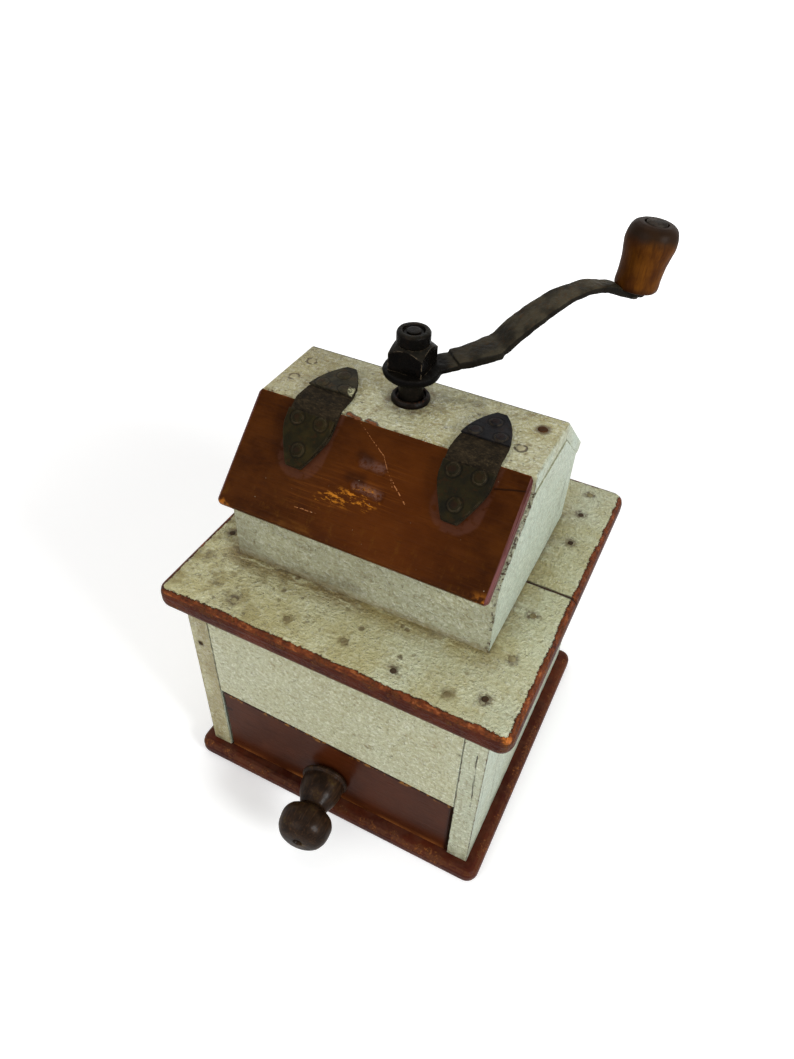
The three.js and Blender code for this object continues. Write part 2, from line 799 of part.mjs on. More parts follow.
const lockProfile = [
  [0, nutTop],
  [lockRadius * 0.92, nutTop],
  [lockRadius, nutTop + lockChamfer * 0.6],
  [lockRadius, lockTop - lockChamfer],
  [lockRadius - lockChamfer * 0.5, lockTop - lockChamfer * 0.3],
  [lockRadius - lockChamfer, lockTop],
  [lockSink, lockTop],
  [lockSink, lockTop - lockSinkDepth],
  [0, lockTop - lockSinkDepth],
];
add("lock_nut", boredNut(turned(lockProfile, 24), nutTop, lockTop), blackIron, works);

// Handle, turned to a barrel, and the pin riveted through it
const handleShares = [
  [0.72, 0],
  [0.81, 0.03],
  [0.855, 0.11],
  [0.865, 0.3],
  [0.905, 0.48],
  [0.965, 0.6],
  [1.0, 0.7],
  [0.99, 0.8],
  [0.925, 0.9],
  [0.82, 0.965],
  [0.66, 1.0],
];
const handleSeat = fit; // above the seat
const handleTop = handleSeat + handleHeight;
const handleBore = pinRadius + fit;
const handleProfile = [
  [handleBore, handleSeat],
  ...handleShares.map(([radius, height]) => [radius * handleRadius, handleSeat + height * handleHeight]),
  [pinSink, handleTop],
  [pinSink, handleTop - pinSinkDepth],
  [handleBore, handleTop - pinSinkDepth],
  [handleBore, handleSeat],
];
const knobPost = new THREE.Group();
knobPost.position.set(armReach, 0, seatTop);
knobPost.rotation.y = handleLean;
crank.add(knobPost);
add("crank_handle", turned(handleProfile, 28), honeyWood, knobPost);

const pinHeadUnder = handleTop - pinSinkDepth + fit;
const pinShoulder = -seatThickness - fit;
const pinProfile = [
  [0, pinShoulder - pinTailHeight],
  [pinTailRadius * 0.7, pinShoulder - pinTailHeight],
  [pinTailRadius, pinShoulder - pinTailHeight * 0.5],
  [pinTailRadius, pinShoulder],
  [pinRadius, pinShoulder],
  [pinRadius, pinHeadUnder],
  [pinHead, pinHeadUnder],
  [pinHead, pinHeadUnder + pinHeadHeight * 0.45],
  [pinHead * 0.8, pinHeadUnder + pinHeadHeight * 0.85],
  [0, pinHeadUnder + pinHeadHeight],
];
add("handle_pin", turned(pinProfile, 20), blackIron, knobPost);

// Burr housing: flange on the middle plate, funnel throat, socket and lip for the outer burr
const socketTop = outerBurrUnder + outerBurrHeight + fit;
const housingProfile = [
  [housingLip, housingUnder],
  [housingRadius * 0.94, housingUnder],
  [housingRadius, housingUnder + lipHeight],
  [housingRadius, flangeUnder],
  [housingFlange, flangeUnder],
  [housingFlange, plateTop],
  [throatTop, plateTop],
  [outerBurrRadius + fit, socketTop + fit],
  [outerBurrRadius + fit, outerBurrUnder - fit / 3],
  [housingLip, outerBurrUnder - fit / 3],
  [housingLip, housingUnder],
];
// A screw's hole through the flange, sunk at the top for its head
const sunkProfile = [
  [0, flangeUnder - overrun],
  [pilotRadius, flangeUnder - overrun],
  [pilotRadius, plateTop - screwHeadHeight - fit],
  [screwHead + fit, plateTop - fit],
  [screwHead + fit, plateTop + overrun],
  [0, plateTop + overrun],
];
const sunkHole = turned(sunkProfile, 14);
let housing = turned(housingProfile, 40);
for (const place of screwPlaces) housing = housing.subtract(sunkHole.translate(place));
add("burr_housing", housing, castIron, works);

// Rings of the burrs: teeth between a crest and a root radius, turned a little at each height
function toothRing(crest, depth, turn, z) {
  const ring = [];
  for (let i = 0; i < 2 * burrTeeth; i++) {
    const angle = turn + (Math.PI * i) / burrTeeth;
    const radius = i % 2 ? crest - depth : crest;
    ring.push([radius * Math.cos(angle), radius * Math.sin(angle), z]);
  }
  return ring;
}

function roundRing(radius, z) {
  return toothRing(radius, 0, 0, z);
}

function squareRing(side, z) {
  return roundRing(1, z).map(([x, y]) => {
    const grow = side / 2 / Math.max(Math.abs(x), Math.abs(y));
    return [x * grow, y * grow, z];
  });
}

const burrLevels = 5;
const outerRings = [
  roundRing(outerBurrRadius, outerBurrUnder),
  roundRing(outerBurrRadius, outerBurrUnder + outerBurrHeight),
];
for (let i = burrLevels; i >= 0; i--) {
  const share = i / burrLevels;
  const root = outerToothBottom + (outerToothTop - outerToothBottom) * share + toothDepth;
  const level = outerBurrUnder + outerBurrHeight * share;
  outerRings.push(toothRing(root, toothDepth, outerTwist * share, level));
}
add("outer_burr", lofted(outerRings, true), castIron, works);

const innerRings = [];
for (let i = 0; i <= burrLevels; i++) {
  const share = i / burrLevels;
  const crest = innerBurrBottom + (innerBurrTop - innerBurrBottom) * share ** 1.3;
  const depth = toothDepth * (1 - 0.3 * share);
  innerRings.push(toothRing(crest, depth, burrTwist * share, innerBurrUnder + innerBurrHeight * share));
}
const burrBoreSide = burrSquare + 2 * fit;
innerRings.push(squareRing(burrBoreSide, innerBurrTopZ));
innerRings.push(squareRing(burrBoreSide, innerBurrUnder));
add("inner_burr", lofted(innerRings, true), castIron, crank);

// Slotted screws, drawn with the shank below zero. A round head stands on zero, a sunk one ends there
function slottedScrew(length, sunk) {
  const neck = sunk ? -screwHeadHeight : 0;
  const top = sunk ? -fit : screwHeadHeight;
  const profile = [
    [0, -length],
    [screwShank * 0.3, -length],
    [screwShank, -length + screwShank * 2],
    [screwShank, neck],
    [screwHead, neck + (sunk ? screwHeadHeight - fit : 0)],
    [screwHead * (sunk ? 0.98 : 0.75), top],
    [0, top],
  ];
  const half = screwSlot / 2;
  const slot = block(-screwHead, screwHead, -half, half, top - screwHeadHeight / 2, top + overrun);
  return turned(profile, 14).subtract(slot);
}

screwPlaces.forEach(([x, y], i) => {
  const screw = add(`housing_screw_${i + 1}`, slottedScrew(screwLength, true), brightSteel, works);
  screw.position.set(x, y, plateTop);
});

// Bearing bridge: a strap hung under the middle plate, with a threaded boss on the axis
const bridgeUnder = bridgeTop - bridgeThickness;
const bridgeRight = [
  [legInner - bridgeThickness, bridgeUnder],
  [legOuter, bridgeUnder + bridgeThickness],
  [legOuter, footUnder],
  [footEnd, footUnder],
  [footEnd, plateUnder],
  [legInner, plateUnder],
  [legInner, bridgeTop + bridgeThickness],
  [legInner - bridgeThickness, bridgeTop],
];
const bridgeLeft = bridgeRight.map(([x, z]) => [-x, z]).reverse();
let bridge = alongY([...bridgeRight, ...bridgeLeft], -bridgeWidth / 2, bridgeWidth / 2, 0)
  .add(rod(bossRadius, bridgeUnder - bossHeight, bridgeTop + bridgeThickness / 2, 24))
  .subtract(rod(adjusterRadius + fit, bridgeUnder - bossHeight - overrun, bridgeTop + bossHeight, 20));
const footHole = rod(pilotRadius, footUnder - overrun, plateUnder + overrun, 12);
for (const x of [-footMiddle, footMiddle]) bridge = bridge.subtract(footHole.translate([x, 0, 0]));
add("bearing_bridge", bridge, blackIron, works);

for (const [name, x] of [
  ["bridge_screw_left", -footMiddle],
  ["bridge_screw_right", footMiddle],
]) {
  const screw = add(name, slottedScrew(screwLength, false), brightSteel, works);
  screw.rotation.x = Math.PI;
  screw.position.set(x, 0, footUnder);
}

// Adjusting screw with a square head, its rounded end carrying the spindle's foot, and its lock nut
const bossUnder = bridgeUnder - bossHeight;
const adjusterNutUnder = bossUnder - adjusterNutHeight;
const adjusterHeadTop = adjusterNutUnder - adjusterGap;
const adjusterHeadUnder = adjusterHeadTop - adjusterHeadHeight;
const adjusterTop = spindleEnd - fit;
const adjusterProfile = [
  [0, adjusterHeadUnder],
  [adjusterRadius, adjusterHeadUnder],
  [adjusterRadius, adjusterTop - pivotHeight],
  [adjusterRadius * 0.6, adjusterTop - pivotHeight * 0.3],
  [0, adjusterTop],
];
const adjusterHead = squareBar(adjusterHeadFlats, adjusterHeadUnder, adjusterHeadTop);
add("adjusting_screw", turned(adjusterProfile, 20).add(adjusterHead), blackIron, works);
const adjusterNut = squareBar(adjusterNutFlats, adjusterNutUnder, bossUnder).subtract(
  rod(adjusterRadius + fit, adjusterNutUnder - overrun, bossUnder + overrun, 20),
);
add("adjusting_lock_nut", adjusterNut, blackIron, works);

// Drawer
const drawerFace = -halfDepth + drawerRecess;
const drawerInner = drawerFace + drawerFrontThickness;
const drawerFloor = baseTop + drawerLift;
const drawerHalf = innerHalf - drawerClearance;
const mouthGrade = (mouthRight - mouthLeft) / (2 * innerHalf);
const mouthMiddle = (mouthLeft + mouthRight) / 2;
const frontLeftZ = baseTop + mouthMiddle - mouthGrade * drawerHalf - drawerClearance;
const frontRightZ = baseTop + mouthMiddle + mouthGrade * drawerHalf - drawerClearance;
const drawerFrontOutline = [
  [-drawerHalf, drawerFloor],
  [drawerHalf, drawerFloor],
  [drawerHalf, frontRightZ],
  [-drawerHalf, frontLeftZ],
];
const flangeLift = knobRadius * Math.sin(knobLean);
const knobY = drawerFace - knobStand - flangeLift;
const knobScrewHole = rod(knobScrewRadius + fit, -2 * drawerFrontThickness, 0, 12)
  .rotate([90, 0, THREE.MathUtils.radToDeg(knobLean)])
  .translate([knobX, knobY, baseTop + knobZ]);
const drawerFront = alongY(drawerFrontOutline, drawerFace, drawerInner, arris).subtract(knobScrewHole);
add("drawer_front", drawerFront, redPaint);

const drawerRearY = halfDepth - boxBoard - drawerRearGap;
const drawerBackY = drawerRearY - drawerBack;
const drawerTop = drawerFloor + drawerHeight;
const drawerInnerHalf = drawerHalf - drawerSide;
for (const [name, left] of [
  ["drawer_side_left", -drawerHalf],
  ["drawer_side_right", drawerInnerHalf],
]) {
  const side = board(left, left + drawerSide, drawerInner, drawerRearY, drawerFloor, drawerTop);
  add(name, side, rawWood);
}
const backBoard = board(-drawerInnerHalf, drawerInnerHalf, drawerBackY, drawerRearY, drawerFloor, drawerTop);
add("drawer_back", backBoard, rawWood);
const bottomZ = drawerFloor + drawerBottomLift;
const bottomTop = bottomZ + drawerBottom;
const bottomBoard = block(-drawerInnerHalf, drawerInnerHalf, drawerInner, drawerBackY, bottomZ, bottomTop);
add("drawer_bottom", bottomBoard, rawWood);

// Knob: flange, waist and flattened ball, drawn along Z and turned to face forward with its lean
const knobShares = [
  [0.9, 0.0],
  [0.92, 0.04],
  [0.84, 0.07],
  [0.82, 0.2],
  [0.73, 0.32],
  [0.59, 0.42],
  [0.535, 0.485],
  [0.66, 0.53],
  [0.9, 0.585],
  [1.0, 0.67],
  [1.0, 0.75],
  [0.94, 0.86],
  [0.79, 0.945],
  [0.56, 1.0],
];
const knobProfile = [
  [0, 0],
  ...knobShares.map(([radius, along]) => [radius * knobRadius, along * knobLength]),
  [knobHole, knobLength],
  [knobHole * 0.8, knobLength - knobHoleDepth],
  [0, knobLength - knobHoleDepth],
];
const knobBore = rod(knobScrewRadius + fit, -overrun, knobScrewDepth + fit, 12);
const knob = turned(knobProfile, 28).subtract(knobBore);
const knobGroup = new THREE.Group();
knobGroup.position.set(knobX, knobY, baseTop + knobZ);
knobGroup.rotation.set(Math.PI / 2, 0, knobLean, "ZYX");
grinder.add(knobGroup);
add("drawer_knob", knob, darkWood, knobGroup);

// The knob's screw comes from inside the drawer's front
const screwStart = (drawerInner - knobY) / Math.cos(knobLean) + knobScrewHead * Math.tan(knobLean) + fit;
const knobScrewProfile = [
  [0, -screwStart - knobScrewHeadHeight],
  [knobScrewHead * 0.7, -screwStart - knobScrewHeadHeight],
  [knobScrewHead, -screwStart - knobScrewHeadHeight * 0.3],
  [knobScrewHead, -screwStart],
  [knobScrewRadius, -screwStart],
  [knobScrewRadius, knobScrewDepth - knobScrewRadius],
  [0, knobScrewDepth],
];
add("knob_screw", turned(knobScrewProfile, 12), brightSteel, knobGroup);

export default grinder;
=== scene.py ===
import json
import math

import bmesh
import bpy
from mathutils import Matrix, Vector, noise


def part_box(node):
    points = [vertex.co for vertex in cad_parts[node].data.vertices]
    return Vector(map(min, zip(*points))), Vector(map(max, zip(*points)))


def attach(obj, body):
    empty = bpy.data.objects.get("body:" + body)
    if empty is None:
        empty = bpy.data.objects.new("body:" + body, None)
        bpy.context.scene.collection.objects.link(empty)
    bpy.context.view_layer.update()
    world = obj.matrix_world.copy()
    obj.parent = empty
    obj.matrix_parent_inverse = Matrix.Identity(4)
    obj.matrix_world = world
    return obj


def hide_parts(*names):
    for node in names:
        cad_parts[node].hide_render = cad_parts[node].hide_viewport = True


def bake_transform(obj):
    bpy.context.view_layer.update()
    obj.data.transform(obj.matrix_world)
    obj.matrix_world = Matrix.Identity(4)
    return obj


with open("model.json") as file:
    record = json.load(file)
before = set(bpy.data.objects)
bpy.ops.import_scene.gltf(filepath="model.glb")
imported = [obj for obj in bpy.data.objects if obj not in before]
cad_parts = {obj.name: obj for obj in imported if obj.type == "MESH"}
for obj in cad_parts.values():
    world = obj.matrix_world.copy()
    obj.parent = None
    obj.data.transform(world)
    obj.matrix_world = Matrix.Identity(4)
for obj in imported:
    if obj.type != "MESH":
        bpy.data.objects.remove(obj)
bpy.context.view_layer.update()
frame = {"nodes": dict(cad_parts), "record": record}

# The look of a wooden box coffee grinder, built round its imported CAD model. Places are worked out in
# millimetres in the part's frame and turned into metres when a mesh is made.
MM = 0.001
nodes = frame["nodes"]


def corners(node):
    """The lowest and the highest corner of a CAD node's box, in millimetres."""
    low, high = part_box(node)
    return tuple(c / MM for c in low), tuple(c / MM for c in high)


X, Y, Z = 0, 1, 2
(PLATE_LEFT, PLATE_FRONT, PLATE_UNDER), (PLATE_RIGHT, _, PLATE_TOP) = corners("mid_plate_front")
(_, SEAM, _), (_, PLATE_REAR, _) = corners("mid_plate_rear")
(_, RIDGE_FRONT, _), (_, RIDGE_REAR, RIDGE_TOP) = corners("top_board")
(_, HOPPER_FRONT, _), (HOPPER_RIGHT, HOPPER_REAR, _) = corners("hopper_side_right")
HOPPER_LEFT = corners("hopper_side_left")[0][X]
LID_LEFT, LID_RIGHT = (corner[X] for corner in corners("lid"))
BASE_TOP = corners("base_plate")[1][Z]
BOX_RIGHT = corners("side_board_right")[1][X]
BOX_FRONT = corners("front_board")[0][Y]
SPINDLE = Vector((-2.9, 4.7, 0))
LID_RUN, LID_DROP, LID_THICKNESS = 38.2, 34.1, 6.5
LID_LENGTH = math.hypot(LID_RUN, LID_DROP)
ROOF_SLOPE = math.atan2(LID_DROP, LID_RUN)
DOWN_LID = Vector((0, -math.cos(ROOF_SLOPE), -math.sin(ROOF_SLOPE)))
OUT_OF_LID = Vector((0, -math.sin(ROOF_SLOPE), math.cos(ROOF_SLOPE)))
FOLD = Vector((0, RIDGE_FRONT, RIDGE_TOP))

# Camera
CAMERA_PLACE = Vector((109.55, -242.88, 389.24))
CAMERA_HEADING = math.radians(25.1)  # to the left of straight ahead
CAMERA_TILT = math.radians(43.06)  # below the horizon
CAMERA_ROLL = math.radians(2.54)
CAMERA_LENS, CAMERA_SENSOR = 26.43, 36


def make_camera():
    data = bpy.data.cameras.new("camera")
    data.lens = CAMERA_LENS
    data.sensor_width = CAMERA_SENSOR
    data.clip_start, data.clip_end = 0.01, 100
    camera = bpy.data.objects.new("camera", data)
    turn = Matrix.Rotation(CAMERA_HEADING, 4, "Z")
    tilt = Matrix.Rotation(math.pi / 2 - CAMERA_TILT, 4, "X")
    roll = Matrix.Rotation(CAMERA_ROLL, 4, "Z")
    camera.matrix_world = Matrix.Translation(CAMERA_PLACE * MM) @ turn @ tilt @ roll
    bpy.context.scene.collection.objects.link(camera)
    bpy.context.scene.camera = camera


make_camera()
bpy.context.scene.view_settings.view_transform = "Standard"


def colour(code):
    """A colour written as six hex digits, as the shader takes it."""
    parts = [int(code[i : i + 2], 16) / 255 for i in (0, 2, 4)]
    linear = [p / 12.92 if p <= 0.04045 else ((p + 0.055) / 1.055) ** 2.4 for p in parts]
    return (*linear, 1.0)


def lid_point(x, down, lift=0.0):
    """A point on the lid's face: across, and down the slope from the fold."""
    return Vector((x, 0, 0)) + FOLD + DOWN_LID * down + OUT_OF_LID * lift


# How far each seed moves a pattern, so that no two of them match
GRAIN_STEPS, CELL_STEPS, WOBBLE_STEPS = (61.7, 23.9, 41.3), (17.3, 71.1, 5.9), (31.1, 13.7, 3.3)
ARRIS_FROM, ARRIS_FULL = 0.985, 0.88  # how alike the true and the rounded facing are there
COAT_ROUGHNESS = 0.15


class Graph:
    """Short calls for the nodes of a material or of the world."""

    def __init__(self, owner):
        owner.use_nodes = True
        self.tree = owner.node_tree

    def fill(self, node, **inputs):
        """Fills inputs by their names, written with _ for a space. A string is a colour's code."""
        for name, value in inputs.items():
            self.set(node.inputs[name.replace("_", " ")], value)

    def set(self, socket, value):
        if isinstance(value, bpy.types.NodeSocket):
            self.tree.links.new(value, socket)
        else:
            socket.default_value = colour(value) if isinstance(value, str) else value

    def add(self, kind, *inputs, settings={}, **named):
        """A node with its settings, and its inputs in order and by name."""
        node = self.tree.nodes.new("ShaderNode" + kind)
        for setting, value in settings.items():
            setattr(node, setting, value)
        for socket, value in zip(node.inputs, inputs):
            self.set(socket, value)
        self.fill(node, **named)
        return node

    def number(self, operation, *values, clamp=False):
        return self.add("Math", *values, settings={"operation": operation, "use_clamp": clamp}).outputs[0]

    def vector(self, operation, *values, **named):
        node = self.add("VectorMath", *values, settings={"operation": operation}, **named)
        single = operation in ("DOT_PRODUCT", "DISTANCE", "LENGTH")
        return node.outputs["Value" if single else "Vector"]

    def ramp(self, value, low, high, **ends):
        """0 below low, 1 above high and smooth between; the other way round if low is the larger."""
        ends = {"Value": value, "From_Min": low, "From_Max": high, **ends}
        return self.add("MapRange", settings={"interpolation_type": "SMOOTHSTEP"}, **ends).outputs[0]


class Surface(Graph):
    """A material. Lengths are in millimetres.

    A share runs from 0 to 1. It is a value, or a value with two limits: 0 at the first and 1 at the second.
    """

    def __init__(self, name, specular=0.5, metallic=0.0):
        self.material = bpy.data.materials.new(name)
        super().__init__(self.material)
        self.shader = self.tree.nodes["Principled BSDF"]
        self.fill(self.shader, Metallic=metallic, Specular_IOR_Level=specular)
        self.place = self.vector("SCALE", self.add("TexCoord").outputs["Object"], Scale=1 / MM)
        self.facing = self.add("NewGeometry").outputs["Normal"]
        self.x, self.y, self.z = self.axes(self.place)
        self.to_right, self.to_rear, self.up = self.axes(self.facing)

    def axes(self, vector):
        return self.add("SeparateXYZ", vector).outputs[:3]

    def shifted(self, seed, steps, size, stretch=(1, 1, 1), at=None):
        """The place moved by the seed's steps and counted in sizes, which a large stretch draws out."""
        moved = self.vector("ADD", at or self.place, tuple(seed * step for step in steps))
        return self.vector("MULTIPLY", moved, tuple(1 / (size * s) for s in stretch))

    def grain(self, size, seed=0, detail=3, roughness=0.55, stretch=(1, 1, 1), at=None):
        """Noise with features of about this size."""
        vector = self.shifted(seed, GRAIN_STEPS, size, stretch, at)
        node = self.add("TexNoise", Vector=vector, Scale=1, Detail=detail, Roughness=roughness)
        return node.outputs["Fac"]

    def cells(self, size, seed=0):
        """Distance to the nearest of scattered points, in cell sizes."""
        vector = self.shifted(seed, CELL_STEPS, size)
        return self.add("TexVoronoi", Vector=vector, Scale=1).outputs["Distance"]

    def wobbled(self, amount, size, seed=0):
        """The place moved by noise, for ragged borders and lines."""
        vector = self.shifted(seed, WOBBLE_STEPS, size)
        clouds = self.add("TexNoise", Vector=vector, Scale=1, Detail=3).outputs["Color"]
        centred = self.vector("SUBTRACT", clouds, (0.5, 0.5, 0.5))
        return self.vector("ADD", self.place, self.vector("SCALE", centred, Scale=2 * amount))

    def mix(self, share, first, second):
        node = self.add("Mix", share, settings={"data_type": "RGBA"})
        self.set(node.inputs[6], first)
        self.set(node.inputs[7], second)
        return node.outputs[2]

    def both(self, *shares):
        """The product of shares."""
        result = None
        for share in shares:
            share = self.ramp(*share) if isinstance(share, tuple) else share
            result = share if result is None else self.number("MULTIPLY", result, share)
        return result

    def lay(self, tint, amount, *shares):
        """Lays a tint over the base by an amount where all the shares are high. Returns where that is."""
        share = self.both(*shares)
        self.base = self.mix(self.number("MULTIPLY", share, amount), self.base, tint)
        return share

    def total(self, *terms):
        """The sum of its terms, each a value or a pair of values to multiply."""
        result = 0.0
        for term in terms:
            term = self.number("MULTIPLY", *term) if isinstance(term, tuple) else term
            result = self.number("ADD", result, term)
        return result

    def lift(self, value, amount):
        self.height = self.total(self.height, (value, amount))

    def least(self, *values):
        result = values[0]
        for value in values[1:]:
            result = self.number("MINIMUM", result, value)
        return result

    def edge(self, low, high):
        """Distance along a box's surface to its nearest edge."""
        centre = tuple((a + b) / 2 for a, b in zip(low, high))
        offset = self.vector("ABSOLUTE", self.vector("SUBTRACT", self.place, centre))
        half = tuple((b - a) / 2 for a, b in zip(low, high))
        x, y, z = self.axes(self.vector("SUBTRACT", half, offset))
        upper = self.number("MAXIMUM", x, y)
        return self.number("MAXIMUM", self.least(x, y), self.least(upper, z))

    def outside(self, x0, x1, y0, y1, at):
        """Distance seen from above to an upright block, zero inside it."""
        beyond = []
        for value, low, high in zip(self.axes(at), (x0, y0), (x1, y1)):
            away = self.number("ABSOLUTE", self.number("SUBTRACT", value, (low + high) / 2))
            beyond.append(self.number("MAXIMUM", self.number("SUBTRACT", away, (high - low) / 2), 0.0))
        return self.number("SQRT", self.total(*[(side, side) for side in beyond]))

    def line(self, start, end, at=None):
        """Distance to a straight stretch between two points."""
        start, end = Vector(start), Vector(end)
        run = end - start
        offset = self.vector("SUBTRACT", at or self.place, tuple(start))
        share = self.vector("DOT_PRODUCT", offset, tuple(run / run.length_squared))
        share = self.number("ADD", share, 0.0, clamp=True)
        return self.vector("DISTANCE", offset, self.vector("SCALE", tuple(run), Scale=share))

    def lines(self, ends, at):
        """Distance to the nearest of a few straight stretches."""
        return self.least(*[self.line(start, end, at) for start, end in ends])

    def lid_lines(self, ends, at):
        """Distance to the nearest of a few scratches on the lid, each across and down to across and down."""
        return self.lines([(lid_point(*start), lid_point(*end)) for start, end in ends], at)

    def near(self, points, at):
        """Distance to the nearest of a few points."""
        return self.least(*[self.vector("DISTANCE", at, tuple(point)) for point in points])

    def arris(self, radius):
        """1 on edges, within about this distance of them."""
        bevel = self.add("Bevel", settings={"samples": 6}, Radius=radius * MM).outputs[0]
        return self.ramp(self.vector("DOT_PRODUCT", bevel, self.facing), ARRIS_FROM, ARRIS_FULL)

    def finish(self, depth, coat=0.0):
        """Joins the colour, the roughness and a bump of this depth to the shader."""
        bump = self.add("Bump", Strength=1, Distance=depth * MM, Height=self.height).outputs["Normal"]
        self.fill(self.shader, Base_Color=self.base, Roughness=self.rough, Normal=bump)
        self.fill(self.shader, Coat_Weight=coat, Coat_Roughness=COAT_ROUGHNESS)
        return self.material


def dress(node, material, smooth_angle=None):
    """Gives a CAD node its material, and smooth shading up to an angle."""
    mesh = nodes[node].data
    mesh.materials.clear()
    mesh.materials.append(material)
    if smooth_angle:
        mesh.shade_smooth()
        mesh.set_sharp_from_angle(angle=math.radians(smooth_angle))


def round_over(node, radius):
    """Rounds a board's arrises without touching its mesh."""
    bevel = nodes[node].modifiers.new("arris", "BEVEL")
    bevel.width = radius * MM
    bevel.segments = 3
    bevel.limit_method = "ANGLE"
    bevel.angle_limit = math.radians(50)
    bevel.harden_normals = True


# Places of the nails, seen from above
DARK_NAILS = [(30.9, -72.8), (68.3, -67.8), (-71.3, -37.8), (71.0, 32.6), (69.5, 54.3)]
PALE_NAILS = [
    (-71.7, -54.6), (-46.4, -71.9), (-20.6, -70.0), (6.3, -68.9), (54.5, -73.0), (70.7, -44.6),
    (70.6, -18.8), (69.1, 71.2),
]
PLATE_SPOTS = [(23.9, -50.3), (26.7, -51.2), (30.1, -65.3), (-30.4, -56.8), (-29.1, -47.6), (9.6, -59.8)]
TOP_NAILS = [(-53.9, -4.2), (-53.6, 10.0), (49.0, -4.5)]
BROWN_NAIL = (52.5, 11.3)

# Places on the front, across and up
POST_NAIL = (-70.8, 93.8)
FRONT_SPOTS = [(39.6, 95.4), (-30, 103), (20, 72), (52, 97)]
NOTCH_HIGH, NOTCH_LENGTH = 45.3, 3.2  # a notch in the drawer front's left end, not cut but painted as a dark mark of shade
MOUTH_SLANT = 5.1  # how much lower the drawer front is at its right end

# Colours of the pale paint and of the red-brown paint, and the painted highlight on the pale paint's lumps;
# COOL is also the window light's tint, painted on faces to the right
FRESH, COOL, AGED, PAINT_HIGHLIGHT = "c1be98", "b6c3b3", "b0a874", "eeefdc"
STAIN, GRIME, DARK, WOOD = "806a3c", "564a33", "241b12", "5f3419"
RED_DEEP, RED_LIGHT, RED_WORN, RED_BROWN, RED_DARK = "3c170e", "552614", "955a2b", "54301a", "1f0b07"

ALONG_X, ALONG_Y, ALONG_Z = (14, 1, 1), (1, 14, 1), (1, 1, 14)


def at_level(places, level):
    return [(x, y, level) for x, y in places]


def painted(s, edge, along, ageing, seed, coolness=0.0, chip=0.0, seam=0.55):
    """Old pale paint, lumpy and stained, with painted highlights on its lumps, nibs and pebbles and painted
    shade in their hollows. Along is the stretch of its brush marks.
    """
    broad = s.grain(26, seed, 4)
    brush = s.grain(1.3, seed + 1, 5, 0.65, along)
    lumps = s.grain(2.0, seed + 2, 5, 0.65)
    blotch = s.grain(8, seed + 3, 6, 0.7)
    pebbles = s.grain(1.3, seed + 10, 3, 0.6)
    nibs = s.both((s.cells(1.5, seed + 4), 0.34, 0.1), (s.grain(4, seed + 5), 0.4, 0.58))
    s.base = s.mix(coolness, FRESH, COOL)
    s.lay(AGED, ageing, (broad, 0.3, 0.68))
    s.lay(STAIN, 0.2 + 0.3 * ageing, (brush, 0.5, 0.68))
    s.lay(STAIN, 0.85 * ageing, (blotch, 0.53, 0.7))
    # Painted shade in the hollows of the lumps, and a painted highlight on their tops
    s.lay(STAIN, 0.3 + 0.35 * ageing, (lumps, 0.47, 0.33))
    s.lay(PAINT_HIGHLIGHT, 0.45, (lumps, 0.52, 0.68))
    pits = (s.grain(1.7, seed + 6, 4, 0.7), 0.62, 0.68), (s.grain(12, seed + 7), 0.42, 0.62)
    pits = s.lay(GRIME, 0.35 + 0.5 * ageing, *pits)
    specks = (s.cells(6, seed + 11), 0.2, 0.1), (s.grain(2, seed + 12), 0.45, 0.6)
    s.lay(GRIME, 0.75 * min(1.0, 2 * ageing), *specks)
    # Painted highlights on the nibs and on the pebbles' tops, and painted shade in the pebbles' hollows
    s.lay(PAINT_HIGHLIGHT, 0.7, nibs)
    s.lay(PAINT_HIGHLIGHT, 0.5, (pebbles, 0.54, 0.68))
    s.lay(STAIN, 0.35, (pebbles, 0.45, 0.31))
    if seam:
        s.lay(GRIME, seam, (edge, 0.55, 0.1), (s.grain(7, seed + 8, 4), 0.35, 0.55))
    s.height = s.total((brush, 0.5), lumps, (nibs, 0.45), (pits, -0.5), (pebbles, 0.7))
    if chip:
        ragged = s.ramp(s.grain(2.8, seed + 9, 4), 0.46, 0.68)
        bare = s.ramp(s.total(edge, (ragged, -3.0 * chip)), 0.15, -0.1)
        s.base = s.mix(bare, s.base, s.mix(s.ramp(lumps, 0.42, 0.6), WOOD, DARK))
        s.lift(bare, -0.9)
    s.rough = s.total(0.22, (blotch, 0.3))


def oxblood(s, edge, along, seed, wear=1.0):
    """Dark red-brown paint, worn through to the wood along its edges."""
    brush = s.grain(1.4, seed + 1, 4, 0.6, along)
    lumps = s.grain(2.6, seed + 5, 4, 0.6)
    patch = s.ramp(s.grain(9, seed + 2, 5, 0.7), 0.46, 0.64)
    close = s.ramp(s.total(edge, (patch, -2.0 * wear)), 0.8, 0.0)
    s.base = s.mix(s.ramp(s.grain(18, seed, 4), 0.35, 0.7), RED_DEEP, RED_LIGHT)
    s.lay(RED_DARK, 0.5, (brush, 0.5, 0.72))
    s.lay(RED_BROWN, 0.45, (lumps, 0.52, 0.72))
    s.lay(RED_BROWN, 0.7 * min(wear, 1.0), close, (s.grain(2.4, seed + 3, 4), 0.36, 0.55))
    flecks = s.grain(1.5, seed + 4, 4, 0.7)
    worn = s.lay(RED_WORN, 0.8 * min(wear, 1.0), close, patch, (flecks, 0.52, 0.64))
    s.height = s.total((brush, 0.4), (worn, -0.5), (lumps, 0.7))
    s.rough = s.total(0.3, (worn, 0.3), (brush, 0.2))


